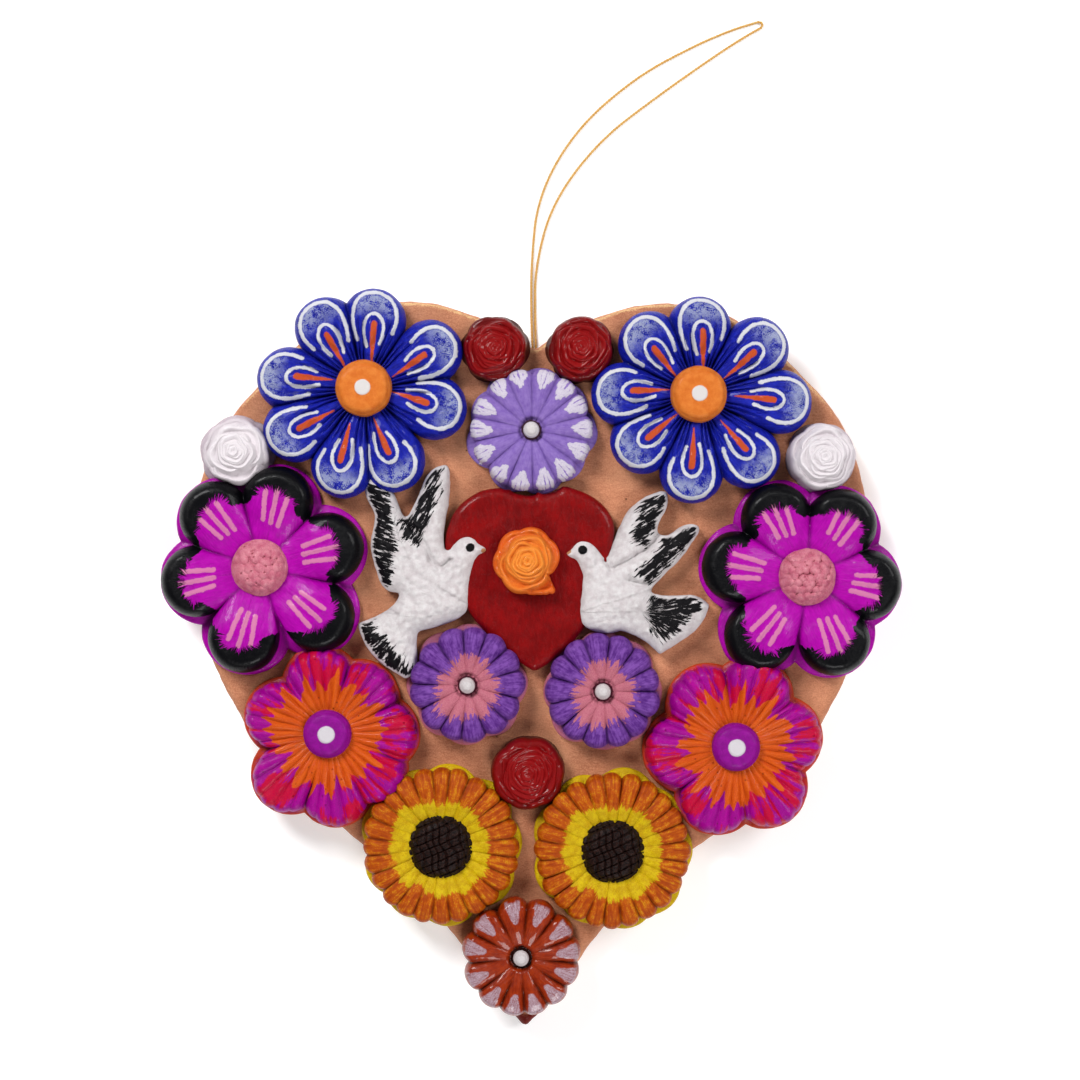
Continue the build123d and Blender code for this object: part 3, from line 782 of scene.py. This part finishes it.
def rust_paint():
    paint = Paint("rust_flower_paint")
    radius, edge, _ = paint.field("fan")
    mark = paint.field("strokes")[0]
    wobble, fine = paint.grain(0.9)
    hair = paint.brushed()
    paint.base = paint.mix((hair + wobble * 0.6).step(-0.3, 0.3), (134, 32, 6), (176, 58, 14))
    # painted shade: dark brown along the creases between the petals
    paint.layer(edge.step(0.6, 0.0) * radius.step(3, 8) * 0.7, (58, 10, 4))
    silver = paint.mix((fine + hair).step(-0.3, 0.4), (152, 104, 110), (208, 182, 196))
    streaky = (hair + fine * 0.6).step(-0.22, -0.1) * (radius + wobble * 0.8).step(12.4, 12.0)
    paint.layer((mark + wobble * 0.5 + hair * 0.9).step(1.25, 1.0) * streaky, silver)
    # painted shade: a near-black ring in the pressed gap round the pellet
    paint.layer((radius + wobble).step(2.6, 2.2), (34, 10, 8))
    return paint.finish(0.3, hair + wobble * 0.5, 0.2, coat=0.36)


# ---- placing the flowers ----
PLAIN_FOOT = [(0.0, 2.6, 0), (-0.35, 1.3, 0), (-0.9, 0.4, 0), (-1.6, 0.0, 0)]
SKIRT_FOOT = [(0.0, 2.9, 0), (-0.3, 2.2, 0), (-0.25, 1.8, 0), (-0.05, 1.6, 0.3), (-0.2, 1.5, 0.9),
              (0.0, 1.15, 1), (0.0, 0.6, 1), (-0.3, 0.1, 1), (-0.7, 0.0, 1)]
SMALL_FOOT = [(0.0, 2.2, 0), (-0.3, 1.2, 0), (-0.7, 0.3, 0), (-1.2, 0.0, 0)]
SKIRT_PAST_PETALS = 0.5

# Each kind of large flower: its middle, rim roll, foot, height, fields, paint, and how much wider than the
# petals its skirt's petals are.
LARGE_KINDS = {
    "blue": ("centre", 2.5, PLAIN_FOOT, blue_height, blue_fields, blue_paint(), None),
    "magenta": ("centre", 2.9, SKIRT_FOOT, magenta_height, magenta_fields, magenta_paint(), 4.2),
    "coral": ("button", 2.1, SKIRT_FOOT, coral_height, None, coral_paint(), 2.9),
}
# Each large flower: its kind, side, petal width and, for each petal, the angle and reach.
LARGE_FLOWERS = [
    ("blue", "left", 13.9, [(82, 21.6), (122, 22.0), (173, 23.1), (211, 24.1), (255, 24.1), (292, 23.5),
                            (345, 22.6), (29, 23.1)]),
    ("blue", "right", 13.9, [(89, 21.1), (38, 22.8), (355, 24.5), (309, 24.0), (265, 23.5), (220, 22.5),
                             (180, 23.0), (133, 22.0)]),
    ("magenta", "left", 15.4, [(76, 22.2), (16, 22.6), (320, 24.0), (256, 23.1), (192, 21.8), (132, 22.3)]),
    ("magenta", "right", 15.4, [(117, 21.5), (56, 21.1), (352, 20.6), (294, 22.6), (232, 23.8), (172, 22.5)]),
    ("coral", "left", 14.6, [(99, 18.5), (47, 17.9), (358, 19.1), (319, 19.4), (277, 20.2), (228, 20.5),
                             (161, 18.4)]),
    ("coral", "right", 15.6, [(124, 18.9), (70, 19.5), (9, 18.8), (307, 19.8), (250, 19.6), (186, 19.4)]),
]
for index, (kind, side, width, tips) in enumerate(LARGE_FLOWERS):
    centre, roll, foot, height, fields, paint, wider = LARGE_KINDS[kind]
    angles, reaches = np.array(tips).T
    petals = Petals(angles, reaches, width, ribs=CORAL_RIBS if kind == "coral" else 0)
    hem = Petals(angles, reaches + SKIRT_PAST_PETALS, width + wider) if wider else None
    flower(f"{kind}_flower_{side}", middle(f"{kind}_{centre}_{side}")[:2], PLATE_TOP, petals, height, roll,
           foot, paint, fields, hem, seed=index * 10 + 1)

sunny, violet, violet_height = sunflower_paint(), purple_paint(), small_height(6.5, 1.8, 1.9)
rust_petals = Petals([99, 67, 35, 8, 342, 313, 286, 261, 233, 203, 168, 137], [12.9] * 12, 7.4)
# Each small flower: its node, middle, petals, rim roll, foot, height, paint, slot, fields and skirt.
SMALL_FLOWERS = [
    ("sunflower_left", "sunflower_disc_left", ring_of_petals(24, 17.0, 11), 1.5, SKIRT_FOOT, sunflower_height,
     sunny, "sunflower_paint", None, ring_of_petals(9, 17.9, 21, uneven=0.02)),
    ("sunflower_right", "sunflower_disc_right", ring_of_petals(24, 17.0, 12), 1.5, SKIRT_FOOT,
     sunflower_height, sunny, "sunflower_paint", None, ring_of_petals(9, 17.8, 22, uneven=0.02)),
    ("purple_flower_left", "purple_pellet_left", ring_of_petals(13, 12.6, 13), 1.7, SKIRT_FOOT, violet_height,
     violet, "purple_paint", None, ring_of_petals(8, 13.3, 23, uneven=0.02)),
    ("purple_flower_right", "purple_pellet_right", ring_of_petals(13, 12.6, 14, 12), 1.7, SKIRT_FOOT,
     violet_height, violet, "purple_paint", None, ring_of_petals(8, 13.3, 24, uneven=0.02)),
    ("lilac_flower", "lilac_pellet", ring_of_petals(14, 13.5, 15), 1.5, SKIRT_FOOT,
     small_height(5.8, 2.1, 1.25), lilac_paint(), "lilac_paint", lilac_fields,
     ring_of_petals(9, 14.5, 25, uneven=0.03)),
    ("rust_flower", "rust_pellet", rust_petals, 1.6, SMALL_FOOT, small_height(6.4, 1.7, 1.6),
     rust_paint(), "rust_paint", rust_fields, None),
]
for index, row in enumerate(SMALL_FLOWERS):
    node, centre, petals, roll, foot, height, paint, slot_name, fields, hem = row
    flower(node, middle(centre)[:2], PLATE_TOP, petals, height, roll, foot, paint, fields, hem,
           columns=480, rings=56, uneven=0.09, seed=index * 10 + 71)


# ---- the middles of the flowers ----
MOUND_ROLL = 0.5
MOUND_SINK = 0.6
MOUND_FOOT = [(0.0, 0.6, 0), (-0.15, 0.2, 0), (-0.5, 0.0, 0)]


def mound(node, relief, paint, slot_name, grow=1.0, columns=160, rings=44, uneven=0.1, seed=0):
    """A dome of clay in a CAD node's place, with relief(ground, height, reach) for its top."""
    x, y, low, high = middle(node)
    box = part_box(node)
    reach = (box[1][0] - box[0][0]) / 2 / MM * grow
    petals = Petals([0, 90, 180, 270], [reach] * 4, 2 * reach)
    flower(node, (x, y), low - MOUND_SINK, petals, lambda g: relief(g, high - low, reach), MOUND_ROLL,
           MOUND_FOOT, paint, columns=columns, rings=rings, uneven=uneven, start=0.15, seed=seed)


def domed(rise, reach, radius, power):
    """Height of a dome over its radius; a higher power is flatter."""
    return 0.6 + (rise - 0.1) * np.maximum(1 - (radius / reach) ** power, 0) ** 0.62


def dotted(g, rise, reach):
    """A flattened disc with a raised dab of white paint on top."""
    return domed(rise - 0.2, reach, g.radius, 9.0) + 0.2 * (1 - ease(g.radius, 1.45, 1.9))


def berry(size, seed, jitter, bulge, holes):
    """A relief of little balls side by side, with pinholes."""
    draw = np.random.default_rng(seed)
    rows = np.arange(-9, 10)
    across, up = np.meshgrid(rows, rows)
    balls = np.stack([(across + 0.5 * (up % 2)) * size, up * size * 0.87], axis=-1).reshape(-1, 2)
    balls = balls + draw.uniform(-jitter, jitter, balls.shape) * size
    pits = draw.uniform(-4.4, 4.4, (holes, 2))

    def relief(g, rise, reach):
        near = np.full(g.x.shape, 1e9)
        for ball_x, ball_y in balls:
            if math.hypot(ball_x, ball_y) < reach * 1.1:
                near = np.minimum(near, np.hypot(g.x - ball_x, g.y - ball_y))
        ball = np.sqrt(np.maximum(1 - (near / (size * 0.66)) ** 2, 0))
        z = domed(rise - 0.4, reach, g.radius, 3.0) + ball * bulge - 0.15
        for pit_x, pit_y in pits:
            z = z - groove(np.hypot(g.x - pit_x, g.y - pit_y), 0.2, 0.5)
        return z
    return relief


def seeded(g, rise, reach):
    """A flattened dome scored by two sets of crossing lines."""
    z = domed(rise - 0.3, reach, g.radius, 4.0)
    drift = 0.35 * np.sin(g.x * 0.9 + 1.0) + 0.3 * np.sin(g.y * 1.1)
    for slant, spacing in ((0.25, 1.75), (-1.15, 1.6)):
        line = (g.x + drift) * math.cos(slant) + (g.y + 0.6 * drift) * math.sin(slant)
        z = z - groove((line / spacing) % 1 - 0.5, 0.10, 0.5)
    return z


def pellet(g, rise, reach):
    return domed(rise - 0.2, reach, g.radius, 3.2)


def dot_paint(name, dark, light, dab, dot_radius):
    """Plain paint with a white dot in the middle."""
    paint = Paint(name)
    wobble, fine = paint.grain(0.8)
    paint.base = paint.mix((wobble + fine * 0.5).step(-0.3, 0.3), dark, light)
    spot = paint.field("fan")[0] + wobble * 0.2 + fine * 0.2
    paint.layer(spot.step(dot_radius, dot_radius - 0.25), dab)
    return paint.finish(0.4, fine, 0.14, coat=0.03)


def pellet_paint():
    paint = Paint("pellet_paint")
    fine = paint.noise(paint.place, 2.5, 3)
    paint.base = paint.mix(fine + 0.5, (200, 188, 190), (240, 236, 236))
    return paint.finish(0.55, fine, 0.1)


def berry_paint():
    paint = Paint("pink_centre_left_paint")
    wobble, fine = paint.grain(0.6, 5)
    paint.base = paint.mix((wobble + fine * 0.7).step(-0.35, 0.35), (198, 94, 120), (234, 150, 164))
    return paint.finish(0.5, fine, 0.12, coat=0.1)


def seed_paint():
    paint = Paint("sunflower_disc_paint")
    fine = paint.noise(paint.place, 2.2, 4)
    paint.base = paint.mix(fine.step(-0.15, 0.2), (16, 8, 8), (50, 27, 22))
    return paint.finish(0.42, fine, 0.15)


orange_dot = dot_paint("blue_flower_centre_paint", (222, 112, 34), (240, 138, 56), (232, 226, 224), 1.8)
purple_dot = dot_paint("coral_flower_button_paint", (136, 6, 136), (160, 12, 158), (226, 220, 226), 1.95)
pearl, dark_seeds, pink = pellet_paint(), seed_paint(), berry_paint()
PELLET_MESH = {"columns": 90, "rings": 30, "uneven": 0.05}
for side in ("left", "right"):
    mound("blue_centre_" + side, dotted, orange_dot, "orange_paint", seed=3)
    mound("coral_button_" + side, dotted, purple_dot, "purple_button_paint", grow=1.06, seed=4)
    mound("sunflower_disc_" + side, seeded, dark_seeds, "seed_paint", grow=1.04, columns=240, rings=72,
          seed=5)
    mound("purple_pellet_" + side, pellet, pearl, "white_paint", **PELLET_MESH)
for node in ("lilac_pellet", "rust_pellet"):
    mound(node, pellet, pearl, "white_paint", **PELLET_MESH)
mound("magenta_centre_left", berry(1.9, 8, 0.25, 0.65, 16), pink, "pink_paint", columns=240, rings=76,
      uneven=0.16, seed=6)
mound("magenta_centre_right", berry(1.5, 9, 0.28, 0.85, 4), pink, "pink_paint", columns=240, rings=76,
      uneven=0.2, seed=7)


# ---- roses ----
def rose_sheets(count, reach, rise, drop, seed):
    """Thin round sheets from the outside in: middle, radius, waviness and height of each edge."""
    draw = np.random.default_rng(seed)
    sheets = []
    for index in range(count):
        share = index / (count - 1)
        radius = reach * (0.98 - 0.86 * share**0.9)
        turn = index * 2.4 + draw.uniform(-0.4, 0.4)
        off = (0.13 * radius + 0.25) * draw.uniform(0.5, 1.2) * (1 - 0.7 * share)
        height = rise * (1 - drop * (radius / reach) ** 1.8) + draw.uniform(-0.12, 0.12)
        sheets.append((off * math.cos(turn), off * math.sin(turn), radius, draw.uniform(0, 6.3, 2), height))
    return sheets


def rose(node, count, seed, paint, curl=0.4, drop=0.45, edge=0.9, petals=None, skirt=None):
    """Overlapping curled sheets: each edge stands up, dips inside and falls away outside."""
    x, y, low, high = middle(node)
    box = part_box(node)
    reach = max(box[1][0] - box[0][0], box[1][1] - box[0][1]) / 2 / MM
    rise = high - low - 0.1
    petals = petals or ring_of_petals(7, reach, seed, seed * 20, width=reach * 1.35, uneven=0.03)
    sheets = rose_sheets(count, reach, rise, drop, seed)
    foot = [(0.0, rise * 0.36, 0), (-0.1, rise * 0.2, 0.2), (0.0, rise * 0.1, 0.7), (0.0, 0.3, 1),
            (-0.2, 0.0, 1)]

    def height(g):
        z = rise * (1 - drop * (g.radius / reach) ** 1.8) - 0.9
        for sheet_x, sheet_y, radius, phase, top in sheets:
            away_x, away_y = g.x - sheet_x, g.y - sheet_y
            theta = np.arctan2(away_y, away_x)
            wave = 0.07 * np.sin(2 * theta + phase[0]) + 0.045 * np.sin(5 * theta + phase[1])
            inside = radius * (1 + wave) - np.hypot(away_x, away_y)
            z = np.maximum(z, top - curl * ease(inside, 0.15, 1.1) - 1.9 * np.maximum(-inside, 0))
        return np.clip(z, rise * 0.42, rise + 0.15)

    flower(node, (x, y), low, petals, height, edge, foot, paint, skirt=skirt,
           columns=400, rings=110, uneven=0.16, start=0.1, seed=seed * 3)


def rose_paint(name, shaded_colour, light, roughness, coat, top):
    """Paint with painted shade and light: darker low between the petals and lighter on their tops."""
    paint = Paint(name)
    wobble, fine = paint.grain(0.7, 2.6)
    height = paint.height()
    # painted shade and light: the shaded colour low down between the petals, the lit colour on the tops
    paint.base = paint.mix((height + wobble * 1.6 + fine).step(top * 0.25, top * 0.95), shaded_colour, light)
    return paint.finish(roughness, fine + wobble, 0.12, coat=coat)


red = rose_paint("red_rose_paint", (66, 0, 1), (148, 0, 4), 0.55, 0.32, 7.0)
pale = rose_paint("white_rose_paint", (204, 188, 198), (244, 236, 240), 0.55, 0.03, 8.0)
peach = rose_paint("orange_rose_paint", (222, 76, 14), (255, 152, 58), 0.36, 0.12, 6.4)
leaf_petals = Petals([20, 75, 130, 190, 245, 288, 299, 305, 310],
                     [7.1, 7.3, 7.2, 7.3, 7.4, 7.5, 7.95, 8.4, 8.9],
                     [9.0, 9.0, 9.0, 9.0, 9.0, 7.0, 5.0, 3.4, 1.6])
rose("red_rose_left", 14, 1, red, skirt=ring_of_petals(6, 7.8, 31, uneven=0.05))
rose("red_rose_right", 14, 2, red, skirt=ring_of_petals(6, 7.9, 32, uneven=0.05))
rose("red_rose_lower", 16, 3, red, drop=0.36, edge=1.4)
rose("white_rose_left", 10, 4, pale, curl=0.5,
     skirt=ring_of_petals(5, 8.8, 33, 20, uneven=0.06))
rose("white_rose_right", 11, 5, pale, curl=0.5,
     skirt=ring_of_petals(5, 8.6, 34, 50, uneven=0.06))
rose("orange_rose", 9, 6, peach, curl=0.65, drop=0.5, petals=leaf_petals)


# ---- slab, heart and doves ----
def reshaped(name, node, voxel, softening):
    """A CAD node's solid with small even faces, softened, ready to be shaped by hand."""
    piece = bpy.data.objects.new(name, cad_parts[node].data.copy())
    bpy.context.scene.collection.objects.link(piece)
    remesh = piece.modifiers.new("even", "REMESH")
    remesh.mode = "VOXEL"
    remesh.voxel_size = voxel * MM
    remesh.use_smooth_shade = True
    smooth = piece.modifiers.new("soft", "SMOOTH")
    smooth.factor = 0.5
    smooth.iterations = softening
    bpy.context.view_layer.update()
    ready = piece.evaluated_get(bpy.context.evaluated_depsgraph_get())
    mesh = bpy.data.meshes.new_from_object(ready)
    piece.modifiers.clear()
    piece.data = mesh
    return piece


def places(piece):
    """The piece's vertices in mm."""
    flat = np.empty(len(piece.data.vertices) * 3, np.float32)
    piece.data.vertices.foreach_get("co", flat)
    return flat.reshape(-1, 3).astype(float) / MM


def move(piece, points):
    piece.data.vertices.foreach_set("co", (points * MM).astype(np.float32).ravel())
    piece.data.update()


def carry(piece, name, *values):
    """Gives each vertex three numbers for the paint to read."""
    data = np.stack(np.broadcast_arrays(*values), axis=-1).astype(np.float32)
    piece.data.attributes.new(name, "FLOAT_VECTOR", "POINT").data.foreach_set("vector", data.ravel())


def wall_distance(points, side):
    """Distance seen from the front from each point to the nearest of the points marked side."""
    tree = KDTree(int(side.sum()))
    for index, (x, y, _) in enumerate(points[side]):
        tree.insert((x, y, 0), index)
    tree.balance()
    return np.array([tree.find((x, y, 0))[2] for x, y, _ in points])


def pillow(piece, low, high, shoulder, width, sides):
    """Rounds the top of a flat piece, so that it is highest away from its sides.

    Its sides are what lies between two heights above its foot."""
    points = places(piece)
    wall = wall_distance(points, (points[:, 2] < low + sides[1]) & (points[:, 2] > low + sides[0]))
    bulge = np.sqrt(1 - (1 - np.clip(wall / width, 0, 1)) ** 2)
    top = points[:, 2] > low + shoulder
    wanted = low + shoulder + (high - low - shoulder) * bulge
    points[top, 2] = np.minimum(points[top, 2], wanted[top])
    move(piece, points)
    return points, wall


def plate_paint():
    """Copper-brown paint with a lighter rim along the raised ridge of the top lobes and a dark red tip."""
    paint = Paint("slab_paint")
    broad, fine = paint.noise(paint.place, 0.12, 3), paint.noise(paint.place, 3.4, 4, 0.75)
    bristle = paint.noise(paint.scaled(paint.place, [0.35, 1, 1]), 2.4, 4, 0.7)
    paint.base = paint.mix((bristle * 0.6 + fine).step(-0.3, 0.35), (192, 119, 87), (246, 172, 130))
    # painted highlight: broad lighter patches scattered over the brown at random
    paint.layer(broad.step(-0.1, 0.25) * 0.3, (252, 188, 144))
    # painted shade: dark dots in the pinholes, where the relief also sinks
    pits = paint.cells(0.16).step(0.045, 0.02)
    paint.layer(pits * 0.8, (66, 36, 26))
    paint.layer((paint.field("rim")[0] + fine * 1.6 + bristle).step(0.5, 0.85), (255, 208, 150))
    up = paint.parts(paint.place)[1]
    paint.layer((up + broad * 8 + bristle * 3).step(-75.5, -77.0), (120, 30, 22))
    return paint.finish(0.55, bristle * 0.6 + fine - pits, 0.2, coat=0.03)


def make_plate():
    plate = reshaped("heart_slab_clay", "heart_plate", 0.7, 3)
    points = places(plate)
    edge = wall_distance(points, (points[:, 2] < PLATE_TOP * 0.7) & (points[:, 2] > 3.4))
    ridge = ease(points[:, 2], 5.0, 6.2) * (1 - ease(edge, 0.4, 1.8)) * ease(points[:, 1], 45, 60)
    rim = ease(points[:, 2], 0.8, 3.0)[:, None]
    points += lumps(points, 9, 0.3, 41) * rim * (1, 1, 0.2) + lumps(points, 1.8, 0.14, 44) * rim
    points[:, 2] = np.clip(points[:, 2], 0, PLATE_TOP + 0.05)
    points[:, 2] += 0.25 * ridge * (1 + value_noise(points, 1.5, 47))
    move(plate, points)
    carry(plate, "rim", ridge, 0, 0)
    settle(plate, plate_paint(), "heart_plate")


def heart_paint():
    paint = Paint("small_heart_paint")
    wobble, fine = paint.grain(0.25, 3.5)
    bristle = paint.noise(paint.scaled(paint.place, [0.8, 0.25, 1]), 1.6, 4, 0.6, warp=0.6)
    paint.base = paint.mix((bristle + fine * 0.5 + wobble).step(-0.3, 0.35), (118, 0, 3), (148, 4, 7))
    return paint.finish(0.36, bristle + fine * 0.5, 0.22, coat=0.12)


def make_heart():
    heart = reshaped("small_heart_clay", "red_heart", 0.35, 8)
    points, _ = pillow(heart, *middle("red_heart")[2:], shoulder=1.8, width=1.9, sides=(0.4, 2.0))
    points += lumps(points, 4, 0.15, 51) + lumps(points, 1.2, 0.05, 54)
    move(heart, points)
    settle(heart, heart_paint(), "red_heart")


make_plate()
make_heart()

# Drawn from the middle of each dove's box, x to the right and y up, in mm. Each patch of black feathers has
# the slant of its streaks in radians; the tail's streaks fan out from its root.
LEFT_DOVE = {
    "eye": (10.2, 5.1), "beak": [(13.0, 4.4), (14.2, 3.6)], "root": (-0.5, -9.0),
    "feathers": [
        (-0.35, [(-12.1, 19.2), (-6.9, 18.3), (-6.9, 15.3), (-6.5, 12.1), (-5.9, 8.9), (-5.4, 5.7),
                 (-5.9, 3.6), (-6.5, 1.4), (-6.3, -0.7), (-6.5, -3.5), (-9.5, -3.5), (-13.4, 2.5), (-13.8, 15.3)]),
        (1.0, [(1.6, 23.0), (4.0, 22.2), (3.8, 19.6), (3.3, 15.3), (1.2, 11.0), (0.3, 7.8), (-1.0, 5.7),
               (-3.9, 6.8), (-5.7, 11.0), (-2.7, 17.5), (0.5, 22.6)]),
        (None, [(-10.8, -9.9), (-9.5, -12.9), (-7.8, -14.6), (-6.1, -16.3), (-4.4, -17.8), (-3.1, -19.7),
                (-2.2, -22.7), (-5.2, -23.6), (-15.5, -14.6), (-15.1, -9.5)])],
    "grooves": [[(-3.9, 11.9), (-2.2, 9.3), (0.5, 5.7), (2.0, 2.1), (3.8, 0.8), (5.9, 2.5)]],
}
RIGHT_DOVE = {
    "eye": (-11.7, 4.9), "beak": [(-14.6, 4.6), (-15.7, 4.0)], "root": (0.5, -8.4),
    "feathers": [
        (0.5, [(2.2, 17.7), (0.5, 14.1), (-0.3, 12.4), (-0.8, 9.2), (-1.4, 6.6), (1.8, 5.7), (4.2, 9.6),
               (4.8, 12.6), (7.4, 15.1), (6.5, 18.6)]),
        (0.65, [(12.9, 11.7), (11.2, 10.7), (5.9, 8.5), (4.4, 5.3), (1.6, 2.3), (-0.8, -0.2), (2.7, -2.8),
                (6.5, 1.7), (9.1, 4.0), (12.9, 6.6)]),
        (None, [(3.1, -4.5), (14.4, -5.0), (14.2, -7.1), (11.9, -9.2), (9.1, -12.2), (5.9, -14.6),
                (3.1, -12.6), (1.8, -8.4)])],
    "grooves": [[(-6.7, 2.5), (-5.5, 0.8), (-2.7, 2.3), (1.6, 4.9), (4.6, 7.9), (5.7, 9.2)],
                [(-1.6, -1.7), (0.5, -2.4), (2.7, -2.2)]],
}


def dove_paint():
    paint = Paint("dove_paint")
    black, streak_along, streak_across = paint.field("feathers")
    eye, beak, wall = paint.field("face")
    wobble, fine = paint.grain(0.8)
    bristle = paint.noise(paint.joined(streak_along * 0.16, streak_across, 3.0), 1.7, 4, 0.7)
    paint.base = paint.mix((wobble + fine * 0.5).step(-0.3, 0.35), (218, 208, 210), (242, 238, 238))
    paint.layer((beak + wobble * 0.3).step(0.62, 0.42), (196, 140, 96))
    held = paint.math("MINIMUM", black, 1.0) * 0.75
    dry = (held + bristle * 6.2 + wobble * 0.9 + fine * 0.5).step(0.1, 0.3)
    dry = dry * (wall + bristle * 2.0).step(0.5, 0.8)
    paint.layer(dry, (14, 12, 16))
    paint.layer((eye + fine * 0.3).step(1.0, 0.85), (8, 8, 10))
    return paint.finish(0.46, bristle + fine * 0.6 + dry * 0.3, 0.2)


def make_dove(node, drawing, paint, seed):
    dove = reshaped(node + "_clay", node, 0.28, 5)
    x, y, low, high = middle(node)
    points, wall = pillow(dove, low, high, shoulder=2.6, width=4.6, sides=(3.9, 4.7))
    across, up = points[:, 0] - x, points[:, 1] - y
    top = ease(points[:, 2], low + 1.6, low + 3.4)
    for line in drawing["grooves"]:
        points[:, 2] -= top * groove(to_stroke(across, up, line), 0.55, 1.3)
    eye = np.hypot(across - drawing["eye"][0], up - drawing["eye"][1])
    points[:, 2] -= top * groove(eye - 1.15, 0.3, 0.25)
    points += lumps(points, 3.0, 0.16, seed) + lumps(points, 1.0, 0.07, seed + 3)
    points[:, 2] += top * ease(wall, 0.8, 2.5) * 0.3 * value_noise(points * (1, 1, 0), 0.9, seed + 9)
    move(dove, points)
    black, along, side = -50.0, 0.0, 0.0
    for slant, outline in drawing["feathers"]:
        inside = inside_distance(across, up, outline)
        if slant is None:
            away_x, away_y = across - drawing["root"][0], up - drawing["root"][1]
            along_here, side_here = np.hypot(away_y, away_x), np.arctan2(away_y, away_x) * 9
        else:
            along_here = across * math.cos(slant) + up * math.sin(slant)
            side_here = up * math.cos(slant) - across * math.sin(slant)
        along = np.where(inside > black, along_here, along)
        side = np.where(inside > black, side_here, side)
        black = np.maximum(black, inside)
    carry(dove, "feathers", black, along, side)
    carry(dove, "face", eye, to_stroke(across, up, drawing["beak"]), wall)
    settle(dove, paint, node)


feathers = dove_paint()
make_dove("dove_left", LEFT_DOVE, feathers, 61)
make_dove("dove_right", RIGHT_DOVE, feathers, 67)


# ---- wire ----
def wire_paint():
    paint = Paint("wire_steel")
    rub = paint.noise(paint.scaled(paint.place, [0.2, 1, 1]), 4, 3)
    paint.base = paint.mix(rub + 0.5, (128, 126, 122), (176, 174, 170))
    return paint.finish(0.35, rub, 0.02, metallic=1.0)


repaint("hanging_wire", wire_paint())
